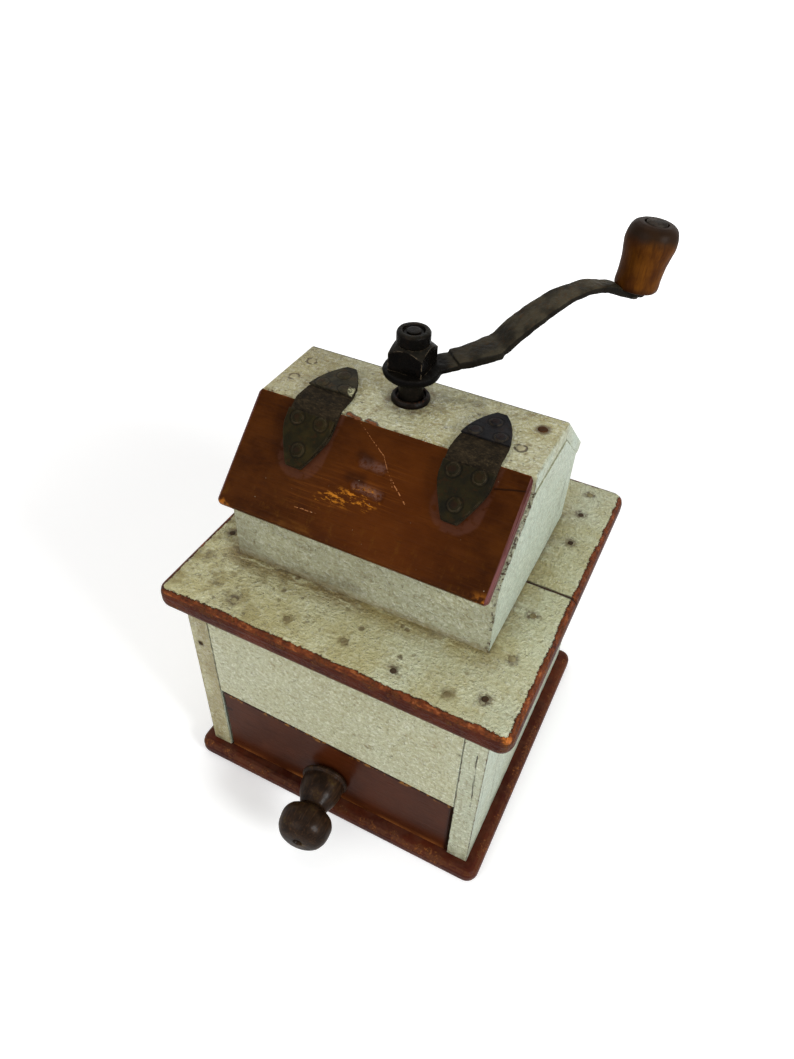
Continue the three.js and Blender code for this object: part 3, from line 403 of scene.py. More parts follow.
def box_board(node, along, ageing, seed, coolness=0.0, chip=0.0, extra=None, seam=0.55, arris=0.7):
    """A painted board. Coolness is its share, on every face, of the bluish tint that the sides facing right
    have in full as painted light from the window.
    """
    s = Surface(node + "_paint", specular=0.25)
    # Painted light: faces turned to the right take the bluish tint of the window light in full
    tint = s.total(coolness, (s.ramp(s.to_right, 0.4, 0.9), 1 - coolness))
    painted(s, s.edge(*corners(node)), along, ageing, seed, tint, chip, seam)
    if extra:
        extra(s)
    dress(node, s.finish(1.5), 30)
    round_over(node, arris)


def post_marks(s):
    """Cracks down the right post, and grime towards the base."""
    cracks = s.lines([
        ((BOX_RIGHT, BOX_FRONT + 4.5, 40), (BOX_RIGHT, BOX_FRONT + 5.5, 122)),
        ((BOX_RIGHT - 3.2, BOX_FRONT, 62), (BOX_RIGHT - 4.4, BOX_FRONT, 104)),
        ((BOX_RIGHT, BOX_FRONT + 26, 30), (BOX_RIGHT, BOX_FRONT + 22, 80)),
    ], s.wobbled(0.8, 9, 4))
    s.lay(GRIME, 0.7, (s.z, BASE_TOP + 16, BASE_TOP), (s.grain(5, 31), 0.3, 0.7))
    crack = s.lay(DARK, 0.85, (cracks, 0.35, 0.1), (s.grain(9, 46, stretch=(1, 1, 3)), 0.4, 0.55))
    s.lift(crack, -1.6)


def foot_marks(s):
    """Grime low down on a board."""
    s.lay(GRIME, 0.6, (s.z, BASE_TOP + 14, BASE_TOP), (s.grain(5, 33), 0.35, 0.7))


def left_post_marks(s):
    """Painted shade on the left post's faces turned to the front, which makes it darker than the other
    boards; a dark mark round its nail, and grime low down.
    """
    # Painted shade, patchy and streaked, on the faces turned to the front
    s.lay(STAIN, 0.5, (s.to_rear, -0.4, -0.8), (s.grain(9, 34, 4, stretch=(1, 1, 3)), 0.25, 0.65))
    nail = s.near([(POST_NAIL[0], BOX_FRONT, POST_NAIL[1])], s.wobbled(1.0, 3, 32))
    s.lay("4a341c", 0.8, (nail, 2.8, 1.2))
    foot_marks(s)


def front_marks(s):
    """Small brown stains and pits on the front board."""
    spot = s.near([(x, BOX_FRONT, z) for x, z in FRONT_SPOTS], s.wobbled(1.6, 4, 8))
    s.lay(STAIN, 0.5, (spot, 2.6, 1.4), (s.grain(2, 35), 0.4, 0.6))
    # Darker in a band just under the middle plate's overhang
    s.lay(GRIME, 0.4, (s.z, PLATE_UNDER - 7, PLATE_UNDER), (s.grain(6, 36), 0.4, 0.7))


def wall_marks(s):
    """Damp stains on the hopper's front wall, and painted shade over all its front faces under the lid."""
    front = s.ramp(s.to_rear, -0.5, -0.9)
    s.lay(GRIME, 0.45, front, (s.grain(18, 37, 5, stretch=(2, 1, 1)), 0.42, 0.66), (s.z, 175, 140))
    # Painted shade: every face turned to the front is darkened evenly
    s.lay(GRIME, 0.16, front)
    s.lay(STAIN, 0.5, front, (s.z, PLATE_TOP + 5, PLATE_TOP))


def gable_marks(s):
    """The slanting crack in the right gable, and chips down its front edge and along its slope."""
    cracks = s.lines([
        ((HOPPER_RIGHT, 41, 169.5), (HOPPER_RIGHT, 26, 139.5)),
        ((HOPPER_RIGHT, 38.5, 166), (HOPPER_RIGHT, 38, 150)),
    ], s.wobbled(1.2, 10, 5))
    crack = s.lay(DARK, 0.8, (cracks, 0.55, 0.15), (s.grain(3, 43), 0.3, 0.5))
    edge_low, edge_high = (HOPPER_RIGHT, HOPPER_FRONT, PLATE_TOP + 1), (HOPPER_RIGHT, HOPPER_FRONT, 168)
    front_edge = s.line(edge_low, edge_high, s.wobbled(0.8, 3, 25))
    chipped = s.both((front_edge, 2.0, 1.0), (s.grain(1.8, 44, 4, 0.7), 0.54, 0.6))
    slope_ends = lid_point(HOPPER_RIGHT, 4, -LID_THICKNESS), lid_point(HOPPER_RIGHT, 47, -LID_THICKNESS)
    slope = s.line(*slope_ends, s.wobbled(0.6, 3, 26))
    flaked = s.both((slope, 1.9, 1.2), (s.grain(1.5, 49, 4, 0.7), 0.52, 0.58))
    chips = s.lay(s.mix(s.grain(1, 45), WOOD, DARK), 0.9, s.number("MAXIMUM", chipped, flaked))
    s.lift(chips, -0.8)
    s.lift(crack, -1.2)
    wall_marks(s)


def rust_and_ghosts(s):
    """Rust round the collar, a painted shadow under the arm, rings round the nails and chips at the fold."""
    moved = s.wobbled(1.6, 5, 6)
    collar = (SPINDLE.x, SPINDLE.y, RIDGE_TOP)
    s.lay("5f4526", 0.75, (s.near([collar], moved), 15, 8), (s.grain(3, 40, 4), 0.3, 0.65))
    # Painted shadow of the arm on the top board, along the line under it
    under_arm = s.line(collar, (40, RIDGE_REAR, RIDGE_TOP), moved)
    s.lay(GRIME, 0.5, (under_arm, 12, 2), (s.grain(6, 41, 4), 0.4, 0.7))
    nail = s.near(at_level(TOP_NAILS, RIDGE_TOP), s.wobbled(0.8, 3, 7))
    ring = s.lay("4a3722", 0.85, (nail, 3.0, 2.5), (nail, 1.5, 2.0), (s.grain(2.4, 48), 0.4, 0.55))
    brown = s.near(at_level([BROWN_NAIL], RIDGE_TOP), s.wobbled(1.2, 4, 27))
    s.lay("54402a", 0.8, (brown, 4.4, 2.0))
    s.lay(STAIN, 0.3, (s.x, -25, -62))
    _, y, _ = s.axes(s.wobbled(1.2, 4, 9))
    s.lay("5f4a30", 0.6, (y, RIDGE_FRONT + 0.8, RIDGE_FRONT + 0.3), (s.grain(4, 42, 4), 0.5, 0.6))
    chip = s.lines([
        ((-19.5, RIDGE_FRONT + 1.2, RIDGE_TOP), (-14.5, RIDGE_FRONT, RIDGE_TOP)),
        ((-11, RIDGE_FRONT + 0.6, RIDGE_TOP), (-7.5, RIDGE_FRONT, RIDGE_TOP)),
    ], s.wobbled(1.3, 2.5, 28))
    s.lay("2a1708", 0.85, (chip, 1.6, 1.2))
    s.lay(s.mix(s.grain(1, 47), "96521f", "4a2409"), 0.9, (chip, 1.0, 0.7))
    s.lift(ring, -0.8)


box_board("side_board_left", ALONG_Z, 0.45, 3, extra=left_post_marks)
box_board("side_board_right", ALONG_Z, 0.25, 7, coolness=0.5, chip=0.12, extra=post_marks)
box_board("front_board", ALONG_X, 0.25, 11, coolness=0.25, extra=front_marks)
box_board("rear_board", ALONG_X, 0.4, 15, extra=foot_marks)
HOPPER = {"coolness": 0.35, "seam": 0, "arris": 0.3}
box_board("hopper_front_wall", ALONG_X, 0.25, 19, extra=wall_marks, **HOPPER)
box_board("hopper_rear_wall", ALONG_X, 0.35, 19, **HOPPER)
box_board("hopper_side_left", ALONG_X, 0.25, 19, extra=wall_marks, **HOPPER)
box_board("hopper_side_right", ALONG_X, 0.12, 19, extra=gable_marks, **HOPPER)
box_board("top_board", ALONG_X, 0.7, 35, chip=0.12, extra=rust_and_ghosts)
box_board("rear_roof_board", ALONG_X, 0.3, 39, coolness=0.5, chip=0.12)


def middle_plate(node, seed):
    """Pale paint on top that stops short of a red-brown edge, with grime at the hopper's foot."""
    s = Surface(node + "_paint")
    edge = s.edge((PLATE_LEFT, PLATE_FRONT, PLATE_UNDER), (PLATE_RIGHT, PLATE_REAR, PLATE_TOP))
    cool = s.number("MULTIPLY", s.ramp(s.x, -30, 65), 0.7)
    painted(s, edge, (5, 1, 1), 0.5, seed, cool, seam=0)
    s.base = s.mix(0.3, s.base, "dbd7a6")
    foot = s.outside(HOPPER_LEFT, HOPPER_RIGHT, HOPPER_FRONT, HOPPER_REAR, s.wobbled(2.6, 6, seed))
    smear = s.grain(3, seed + 60, 6, 0.7, (2.8, 1, 1))
    to_left = s.total(0.55, (s.ramp(s.x, 65, -10), 0.45))
    s.lay("766030", 0.9, (foot, 13, 0.5), (smear, 0.35, 0.52), to_left)
    s.lay("4a3a1c", 0.7, (foot, 8, 0.5), (smear, 0.52, 0.62), to_left)
    s.lay(GRIME, 0.55, (foot, 2.2, 0.2))
    s.lay("776738", 0.75, (s.x, 0, -60), (s.grain(9, seed + 61, 6, 0.65), 0.45, 0.66))
    nail = s.near(at_level(DARK_NAILS + PALE_NAILS, PLATE_TOP), s.wobbled(2.2, 3.4, seed + 1))
    s.lay("4a341c", 0.85, (nail, 4.4, 1.4), (s.grain(2.2, seed + 62, 5, 0.7), 0.38, 0.52))
    s.lay(GRIME, 0.6, (s.grain(5, seed + 67, 6, 0.75), 0.54, 0.62), (s.x, 60, -20))
    s.lay("a89a5a", 0.35, (s.grain(22, seed + 68), 0.42, 0.6))
    flecks = s.near(at_level(PLATE_SPOTS, PLATE_TOP), s.wobbled(1.2, 2.5, seed + 3))
    s.lay("54401f", 0.75, (flecks, 1.5, 0.7))
    pale, pale_rough, pale_height = s.base, s.rough, s.height

    # The red-brown edge, with flakes and a dark rim just beyond the pale paint's border
    waves = s.total((s.grain(14, seed + 63, 2), 2.6), (s.grain(2.2, seed + 66, 7, 0.8), 4.4), -0.8)
    inside = s.number("SUBTRACT", edge, waves)
    top = s.both((s.up, 0.9, 0.97), (inside, -0.1, 0.1))
    bare = s.number("SUBTRACT", 1.0, top)
    oxblood(s, s.number("ABSOLUTE", s.total(edge, -1.8)), ALONG_X, seed + 50, 1.4)
    beside = s.both((s.up, 0.3, 0.7), bare)
    flakes = s.grain(2.4, seed + 65, 5, 0.7, (2, 2, 1))
    flake_tint = s.mix(s.ramp(flakes, 0.54, 0.64), "743a1c", "a05c32")
    s.lay(flake_tint, 0.75, (inside, -2.4, -1.2), beside, (flakes, 0.38, 0.55))
    s.lay("26120a", 0.85, (inside, -0.7, -0.2), beside, (smear, 0.38, 0.48))
    corner = s.near([(PLATE_RIGHT - 2.6, PLATE_FRONT + 2.4, PLATE_TOP - 1.6)], s.wobbled(1.5, 3))
    s.lay("b8692c", 0.85, (corner, 2.3, 1.0))

    # Both together, with the dark seam between the two boards
    s.base = s.mix(top, s.base, pale)
    _, wavy_y, _ = s.axes(s.wobbled(0.6, 5, seed + 2))
    from_seam = s.number("ABSOLUTE", s.number("SUBTRACT", wavy_y, SEAM))
    seam = s.both((from_seam, 1.0, 0.4), (s.grain(8, seed + 64), 0.3, 0.45))
    s.lay(DARK, 0.85, seam, (s.up, 0.8, 0.9))
    # Painted shade on the faces that point down
    s.lay(RED_DARK, 0.6, (s.up, -0.5, -0.9))
    s.rough = s.total((top, pale_rough), (bare, s.rough))
    s.height = s.total((top, s.total(pale_height, 0.3)), (bare, s.height), (seam, -1.0))
    s.fill(s.shader, Specular_IOR_Level=s.total(0.06, (top, 0.2)))
    dress(node, s.finish(1.7), 38)


middle_plate("mid_plate_front", 43)
middle_plate("mid_plate_rear", 47)


def base_board():
    s = Surface("base_plate_paint", specular=0.06)
    edge = s.edge(*corners("base_plate"))
    oxblood(s, s.number("ABSOLUTE", s.total(edge, -1.6)), ALONG_X, 70, 1.2)
    s.lay("5f4030", 0.3, (s.z, BASE_TOP - 1, BASE_TOP), (s.grain(8, 71, 5), 0.4, 0.7))
    dress("base_plate", s.finish(0.35), 38)


def drawer_face():
    """The drawer front, with painted shade along its top edge under the front board and its right edge
    beside the post, a notch at its left end that is only a painted dark mark of shade, and ochre chips on
    top.
    """
    s = Surface("drawer_front_paint", specular=0.05)
    low, high = corners("drawer_front")
    oxblood(s, s.edge(low, high), ALONG_X, 74, 1.0)
    s.base = s.mix(0.6, s.base, "381904")
    s.lay("4c281a", 0.3, (s.grain(1.4, 75, 5, 0.65, (40, 1, 1)), 0.45, 0.7))
    _, _, wavy_z = s.axes(s.wobbled(1.5, 12, 11))
    scuffs = s.grain(7, 76, 4, stretch=(3, 1, 1))
    s.lay(RED_WORN, 0.7, (wavy_z, low[Z] + 5, low[Z]), (scuffs, 0.35, 0.65))
    # The notch is not cut: its shade is painted as a dark mark
    notch = s.line((low[X], low[Y], NOTCH_HIGH), (low[X] + NOTCH_LENGTH, low[Y], NOTCH_HIGH))
    s.lay(RED_DARK, 0.9, (notch, 1.2, 0.8))
    top_edge = s.line((low[X], low[Y], high[Z]), (high[X], low[Y], high[Z] - MOUTH_SLANT))
    right_edge = s.line((high[X], low[Y], low[Z]), (high[X], low[Y], high[Z]))
    # Painted shade along the top edge, under the front board, and along the right edge, beside the post
    s.lay(RED_DARK, 0.75, (s.least(top_edge, right_edge), 2.2, 0.5))
    s.lay("8a5a1e", 0.7, (top_edge, 3.0, 1.6), (s.grain(3, 77, 4), 0.54, 0.62))
    s.rough = s.number("MULTIPLY", s.rough, 0.75)
    dress("drawer_front", s.finish(0.1, coat=0.03))


base_board()
drawer_face()


def lid_varnish():
    s = Surface("lid_varnish", specular=0.025)
    offset = s.vector("SUBTRACT", s.place, tuple(FOLD))
    down = s.vector("DOT_PRODUCT", offset, tuple(DOWN_LID))
    out = s.vector("DOT_PRODUCT", offset, tuple(OUT_OF_LID))
    at = s.add("CombineXYZ", s.axes(offset)[X], down, out).outputs[0]
    grain = s.grain(1.1, 81, 5, 0.6, (26, 1, 1), at)
    s.base = s.mix(s.ramp(s.grain(15, 80, 6, 0.68, (1.5, 1, 1), at), 0.34, 0.68), "2d1202", "422005")
    s.lay("56300b", 0.16, (grain, 0.46, 0.75))
    warm = s.near([lid_point(12, 32)], s.wobbled(8, 30, 31))
    s.lay("5a2a06", 0.4, (warm, 50, 8))
    mottle = s.grain(2.6, 93, 5, 0.7, (1, 2.2, 1), at)
    s.lay("5f3c0e", 0.3, (mottle, 0.54, 0.7), (down, 26, 50))
    s.lay("220d03", 0.25, (s.grain(0.6, 82, 2, stretch=(9, 1, 1), at=at), 0.58, 0.75))

    # Streaks where the varnish is worn to bright wood, below the lower dent
    worn_zone = s.lid_lines([((-17, 34), (2, 29))], s.wobbled(3, 9, 12))
    s.lay("b5701f", 0.85, (worn_zone, 5.5, 1.0), (s.grain(1.5, 83, 4, 0.7, (3.2, 1, 1), at), 0.5, 0.6))
    spread = s.lid_lines([((-24, 36), (6, 22))], s.wobbled(3, 9, 13))
    s.lay("7a4315", 0.22, (spread, 13, 3), (grain, 0.5, 0.62))

    # Two dents, with painted shade on the left and a painted grey highlight, a crescent, on the right
    wavy = s.wobbled(1.0, 4, 14)
    hollow = s.lid_lines([((-8.6, 13.6), (-4, 14.2)), ((-9.4, 22.8), (-4, 22.6))], wavy)
    dents = s.lid_lines([((-6, 15.6), (2.4, 16.2)), ((-5.5, 25.4), (4.6, 26.4))], wavy)
    # Painted highlight on the dents' right rims, which are also rougher
    dent_highlight = s.lay("5f443c", 0.6, (dents, 2.8, 0.8), (s.grain(1.2, 84, 4, 0.7), 0.34, 0.56))
    # Painted shade in the dents' left sides
    s.lay("200c03", 0.6, (hollow, 3.6, 0.4))

    # Scratches
    wavy = s.wobbled(0.5, 6, 16)
    fine = s.lid_lines([((-13, 1.5), (1, 11)), ((1, 11), (9, 21.5))], wavy)
    broad_end = s.total(s.lid_lines([((6, 17.5), (16.3, 26.2))], wavy), -0.08)
    short = s.lid_lines([((-26.8, 41.7), (-17.2, 41.4))], wavy)
    broken = s.ramp(s.grain(1.0, 85, 4, 0.7), 0.46, 0.54)
    long_mark = s.both((s.least(fine, broad_end), 0.19, 0.06), broken)
    short_mark = s.both((short, 0.25, 0.1), broken)
    mark = s.lay("b4774a", 0.8, s.number("MAXIMUM", long_mark, short_mark))
    split = s.lay("1d0d05", 0.8, (s.lid_lines([((47, 9.3), (60, 6.0))], wavy), 0.45, 0.15))

    # Dark bands beside the hinges, worn lower edge and corners
    beside = s.least(
        s.lid_lines([((-31.2, 1), (-32.6, 20.5))], s.wobbled(0.8, 5, 17)),
        s.lid_lines([((37.6, 1), (36.2, 20.5))], s.wobbled(0.8, 5, 18)),
    )
    s.lay("56362c", 0.32, (beside, 11.4, 9.9), (s.grain(3, 86), 0.3, 0.5))
    scuffs = s.grain(9, 87, 4, stretch=(3, 1, 1), at=at)
    s.lay("7c4f1a", 0.6, (down, LID_LENGTH - 5.5, LID_LENGTH - 1.5), (scuffs, 0.5, 0.7))
    from_end = s.least(s.number("SUBTRACT", s.x, LID_LEFT), s.number("SUBTRACT", LID_RIGHT, s.x))
    low_down = (down, LID_LENGTH - 5, LID_LENGTH)
    s.lay("a8641f", 0.8, (from_end, 9, 2), low_down, (s.grain(3, 88, 4), 0.42, 0.6))
    stripes = s.ramp(s.grain(0.9, 89, stretch=(1, 20, 1), at=at), 0.4, 0.6)
    s.lay(s.mix(stripes, "4a2727", "6a4242"), 0.92, (s.number("ABSOLUTE", s.to_right), 0.35, 0.6))
    s.lay("7a4424", 0.6, s.arris(0.7), (s.grain(2, 94, 4), 0.46, 0.6))
    s.lay("b9a98c", 0.5, (s.cells(4.5, 21), 0.06, 0.03), (s.grain(10, 90), 0.4, 0.6))

    waves = s.grain(16, 91, at=at)
    pressed = s.ramp(dents, 3.6, 0.3)
    s.height = s.total((grain, 0.35), (waves, 1.2), (pressed, -2.4), (mark, -0.35), (split, -0.7))
    s.rough = s.total(0.22, (s.grain(5, 92, 4), 0.3), (dent_highlight, 0.15))
    dress("lid", s.finish(0.4), 32)


lid_varnish()


def raw_wood(name, along, seed, dusty):
    s = Surface(name, specular=0.3)
    rings = s.grain(2.0, seed, 4, stretch=along)
    pores = s.grain(0.5, seed + 1, stretch=along)
    s.base = s.mix(s.ramp(rings, 0.35, 0.65), "a98556", "8a6638")
    s.lay("5a4023", 0.4, (pores, 0.55, 0.7))
    s.lay("6d5031", 0.5, (s.grain(14, seed + 2, 5), 0.4, 0.7))
    s.lay("3a2414", dusty, (s.grain(3, seed + 3, 5), 0.45, 0.6))
    s.height = s.total((rings, 0.6), (pores, 0.5))
    s.rough = 0.72
    return s.finish(0.15)


for node, along, seed, dusty in (
    ("drawer_side_left", ALONG_Y, 100, 0.15), ("drawer_side_right", ALONG_Y, 100, 0.15),
    ("drawer_back", ALONG_X, 104, 0.15), ("drawer_bottom", ALONG_X, 108, 0.6),
):
    dress(node, raw_wood(node + "_wood", along, seed, dusty))


def iron(name, seed, dark="14120f", worn="2c2924", rust="40291a", amount=0.5, roughness=0.42, depth=0.25,
         gloss=0.04, sides=None, extra=None, edge_wear_and_highlight=None):
    """Blackened iron with hammer marks and a little rust, lighter on top than on its sides; edges given a
    colour are worn lighter, partly as a painted highlight.
    """
    s = Surface(name, specular=gloss, metallic=0.1)
    broad = s.grain(7, seed, 4)
    pits = s.grain(1.3, seed + 1, 4, 0.65)
    s.base = s.mix(s.ramp(broad, 0.35, 0.7), dark, worn)
    rusty = s.lay(rust, amount, (pits, 0.46, 0.68), (s.grain(4.5, seed + 2, 4), 0.4, 0.62))
    if sides:
        s.lay(sides, 0.8, (s.up, 0.75, 0.35))
    if extra:
        extra(s)
    # Lighter edges: partly wear, partly a painted highlight
    if edge_wear_and_highlight:
        s.lay(edge_wear_and_highlight, 0.8, s.arris(0.7), (s.grain(2.5, seed + 3, 4), 0.42, 0.6))
    s.height = s.total((pits, 0.8), (broad, 1.1))
    s.rough = s.total(roughness - 0.1, (rusty, 0.25), (pits, 0.2))
    return s.finish(depth)


def hinge_iron(name, rivets, seed, dark, worn, rust, smear=None):
    """A hinge plate's iron, with a brown head and a worn lighter ring at each rivet."""
    s = Surface(name, specular=0.04, metallic=0.1)
    broad = s.grain(6, seed, 4)
    pits = s.grain(1.0, seed + 1, 4, 0.7)
    s.base = s.mix(s.ramp(broad, 0.35, 0.7), dark, worn)
    s.lay(rust, 0.5, (s.total((pits, 0.6), (s.grain(3, seed + 2), 0.5)), 0.56, 0.68))
    head = s.near(rivets, s.wobbled(0.4, 2, 29))
    s.lay("22120a", 0.45, (head, 2.0, 1.0))
    ring = s.lay("463c2c", 0.3, (head, 3.1, 2.7), (head, 2.0, 2.4), (s.grain(2, seed + 3), 0.35, 0.55))
    gap = s.lay("0a0805", 0.5, (head, 3.8, 3.4), (head, 2.8, 3.1))
    s.lay("4d4436", 0.5, s.arris(0.5), (s.grain(3, seed + 4, 4), 0.45, 0.6))
    if smear:
        s.lay(FRESH, 0.8, (s.line(*smear, s.wobbled(1.0, 3, 33)), 1.6, 0.6), (pits, 0.4, 0.56))
    s.height = s.total((pits, 0.9), (broad, 0.6), (ring, 0.5), (gap, -0.6))
    s.rough = s.total(0.36, (pits, 0.3))
    return s.finish(0.25)


# The plates' rivets: two near the edge that faces the fold, and one near the tip
PAIR_SPREAD, UPPER_PAIR, UPPER_TIP, LOWER_PAIR, LOWER_TIP, PLATE_LIFT = 5.4, 12.2, 20.8, 7.6, 20.2, 3.4
HINGE_COLOURS = {
    "left": (("211f18", "3a3527", "42301c"), ("171408", "28210d", "2e1b0b")),
    "right": (("121214", "222122", "2a1d14"), ("13110a", "211c0c", "2a190b")),
}


def strap_middle(side):
    low, high = corners(side + "_hinge_strap_upper")
    return (low[X] + high[X]) / 2


for side, (upper_colours, lower_colours) in HINGE_COLOURS.items():
    middle = strap_middle(side)
    spots = ((middle - PAIR_SPREAD, 0), (middle + PAIR_SPREAD, 0), (middle, 1))
    upper_rivets = [FOLD + Vector((x, UPPER_TIP if tip else UPPER_PAIR, PLATE_LIFT)) for x, tip in spots]
    lower_rivets = [lid_point(x, LOWER_TIP if tip else LOWER_PAIR, PLATE_LIFT) for x, tip in spots]
    smear = [FOLD + Vector((middle + x, y, PLATE_LIFT)) for x, y in ((8.4, 13), (9.6, 9.6))]
    smear = smear if side == "left" else None
    upper_iron = hinge_iron(side + "_upper_iron", upper_rivets, 120, *upper_colours, smear)
    lower_iron = hinge_iron(side + "_lower_iron", lower_rivets, 125, *lower_colours)
    dress(side + "_hinge_upper_plate", upper_iron, 35)
    dress(side + "_hinge_lower_plate", lower_iron, 35)

black_iron = iron("black_iron", 130)
cast_iron = iron("cast_iron", 135, "262523", "403d38", "5a3c26", 0.6, 0.6, 0.3)
steel = iron("dull_steel", 140, "4f4d47", "6f6c64", "5b4330", 0.5, 0.45, 0.08)
spindle_iron = iron("spindle_iron", 145, "090806", "15120e", "2a1d14", 0.4, 0.32, 0.2, 0.05)
for material, smooth_angle, names in (
    (spindle_iron, 35, ["spindle"]),
    (black_iron, 35, ["bearing_bridge", "adjusting_screw", "adjusting_lock_nut"]),
    (cast_iron, 25, ["burr_housing", "outer_burr", "inner_burr"]),
    (steel, 35, ["inner_burr_pin", "bridge_screw_left", "bridge_screw_right", "knob_screw"]),
    (steel, 35, [f"housing_screw_{i}" for i in (1, 2, 3)]),
):
    for node in names:
        dress(node, material, smooth_angle)


def make_piece(name, mesh, material, body, replaced=(), sharp=40):
    """A finished piece on its body, standing for the CAD nodes that it replaces."""
    mesh.materials.append(material)
    mesh.shade_smooth()
    mesh.set_sharp_from_angle(angle=math.radians(sharp))
    piece = bpy.data.objects.new(name, mesh)
    bpy.context.scene.collection.objects.link(piece)
    if body:
        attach(piece, body)
    if replaced:
        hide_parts(*replaced)
    return piece


def mesh_from(name, rings, looped=False):
    """Skins a stack of rings of points in millimetres, each with as many points as the others."""
    build = bmesh.new()
    rows = [[build.verts.new(Vector(p) * MM) for p in ring] for ring in rings]
    count = len(rows[0])
    pairs = list(zip(rows, rows[1:]))
    if looped:
        pairs.append((rows[-1], rows[0]))
    for low, high in pairs:
        for i in range(count):
            j = (i + 1) % count
            build.faces.new((low[i], low[j], high[j], high[i]))
    if not looped:
        build.faces.new(list(reversed(rows[0])))
        build.faces.new(rows[-1])
    bmesh.ops.recalc_face_normals(build, faces=build.faces)
    mesh = bpy.data.meshes.new(name)
    build.to_mesh(mesh)
    build.free()
    return mesh


def joined(name, parts):
    """One mesh out of several, which are used up."""
    build = bmesh.new()
    for part in parts:
        build.from_mesh(part)
        bpy.data.meshes.remove(part)
    mesh = bpy.data.meshes.new(name)
    build.to_mesh(mesh)
    build.free()
    return mesh


def curve_through(rows, rates, spans, steps):
    """A smooth curve through rows of numbers that change at these rates there."""
    curve = []
    for i, span in enumerate(spans):
        for k in range(steps):
            t = k / steps
            turned = 3 * t * t - 2 * t ** 3
            leaving, arriving = span * (t ** 3 - 2 * t * t + t), span * (t ** 3 - t * t)
            curve.append([
                a * (1 - turned) + b * turned + m * leaving + n * arriving
                for a, b, m, n in zip(rows[i], rows[i + 1], rates[i], rates[i + 1])
            ])
    curve.append(list(rows[-1]))
    return curve


def smooth_row(rows, steps):
    """A smooth curve through rows of numbers, with this many steps between neighbours."""
    around = zip([rows[0]] + rows, rows[1:] + [rows[-1]])
    rates = [[(after - before) / 2 for before, after in zip(*pair)] for pair in around]
    return curve_through(rows, rates, [1] * (len(rows) - 1), steps)


def steady_curve(rows, steps):
    """A smooth curve through rows, along their first number, that never swings past them."""
    pairs = list(zip(rows, rows[1:]))
    spans = [after[0] - before[0] for before, after in pairs]
    slopes = [[(b - a) / span for a, b in zip(*pair)] for pair, span in zip(pairs, spans)]
    level = [1.0] + [0.0] * (len(rows[0]) - 1)
    rates = [level]
    for before, after in zip(slopes, slopes[1:]):
        rates.append([2 * p * q / (p + q) if p * q > 0 else 0.0 for p, q in zip(before, after)])
    return curve_through(rows, rates + [level], spans, steps)


def rounded(start, corner, end, t):
    """A point on the curve from start to end that the corner pulls out."""
    return start * (1 - t) ** 2 + corner * 2 * t * (1 - t) + end * t * t


def softened(profile, radius, steps=4):
    """A profile with its corners rounded."""
    points = [profile[0]]
    for before, corner, after in zip(profile, profile[1:], profile[2:]):
        corner = Vector(corner)
        back, on = Vector(before) - corner, Vector(after) - corner
        start = corner + back.normalized() * min(radius, back.length * 0.45)
        end = corner + on.normalized() * min(radius, on.length * 0.45)
        points += [tuple(rounded(start, corner, end, k / steps)) for k in range(steps + 1)]
    points.append(profile[-1])
    return points


def lathe_rings(profile, sides, centre, uneven=0.0, seed=0):
    """Rings of a turned form. Uneven is the size of its dents in millimetres."""
    rings = []
    for radius, height in profile:
        ring = []
        for i in range(sides):
            angle = 2 * math.pi * i / sides
            point = Vector((radius * math.cos(angle), radius * math.sin(angle), height))
            dent = noise.noise(point * 0.35 + Vector((seed * 9.1, seed * 3.7, 0))) * uneven
            dent += noise.noise(point * 1.1 + Vector((seed * 2.3, 0, seed * 4.9))) * uneven * 0.4
            dent *= min(1.0, radius / 2)
            point += Vector((math.cos(angle), math.sin(angle), 0.3)) * dent
            ring.append(point + centre)
        rings.append(ring)
    return rings


# Heights and directions on the crank, read from the CAD nodes
EYE_UNDER = corners("crank_arm")[0][Z]
NUT_UNDER, NUT_TOP = (corner[Z] for corner in corners("crank_nut"))
LOCK_TOP = corners("lock_nut")[1][Z]
handle_joint = next(j for j in frame["record"]["behaviour"]["joints"] if j["name"] == "handle_spin")
SEAT = Vector(handle_joint["pos_m"]) / MM  # the middle of the handle's seat
HANDLE_LEAN = Vector((0, 0, 1)).rotation_difference(Vector(handle_joint["axis"])).to_matrix().to_4x4()
TO_SEAT = Vector((SEAT.x - SPINDLE.x, SEAT.y - SPINDLE.y, 0))
REACH = TO_SEAT.length
ARM = TO_SEAT.normalized()
ACROSS = Vector((-ARM.y, ARM.x, 0))
ARM_WIDTH, ARM_THICKNESS, ARM_RISE = 15.0, 4.6, 26.4
ARM_SIDES, ARM_SQUARENESS = 24, 0.4
EYE_RADIUS, SEAT_RADIUS, SEAT_UNDER = 12, 5.1, -2.4
SKIN_CELL = 0.4
ON_AXIS = 0.01  # the radius with which a turned form is closed

# The arm's stations as shares of its reach, rise, width and thickness, and its offset to one side
ARM_SHARES = [
    (0.02, 0.0, 0.8, 0.72, 0), (0.1, 0.015, 0.8, 0.7, 0), (0.16, 0.04, 0.77, 0.7, 0),
    (0.188, 0.05, 0.78, 0.7, -0.03), (0.195, 0.1, 0.8, 1.04, -0.04), (0.24, 0.142, 0.82, 1.06, -0.1),
    (0.29, 0.19, 0.86, 1.06, -0.1), (0.372, 0.228, 1.0, 1.02, -0.05), (0.38, 0.228, 0.95, 0.82, -0.02),
    (0.44, 0.395, 0.97, 0.78, 0), (0.52, 0.605, 0.95, 0.76, 0), (0.6, 0.79, 0.88, 0.72, 0),
    (0.69, 0.94, 0.74, 0.7, 0), (0.78, 1.0, 0.6, 0.72, 0), (0.86, 0.975, 0.48, 0.78, 0),
    (0.93, 0.88, 0.46, 0.78, 0), (0.985, 0.83, 0.5, 0.74, 0),
]


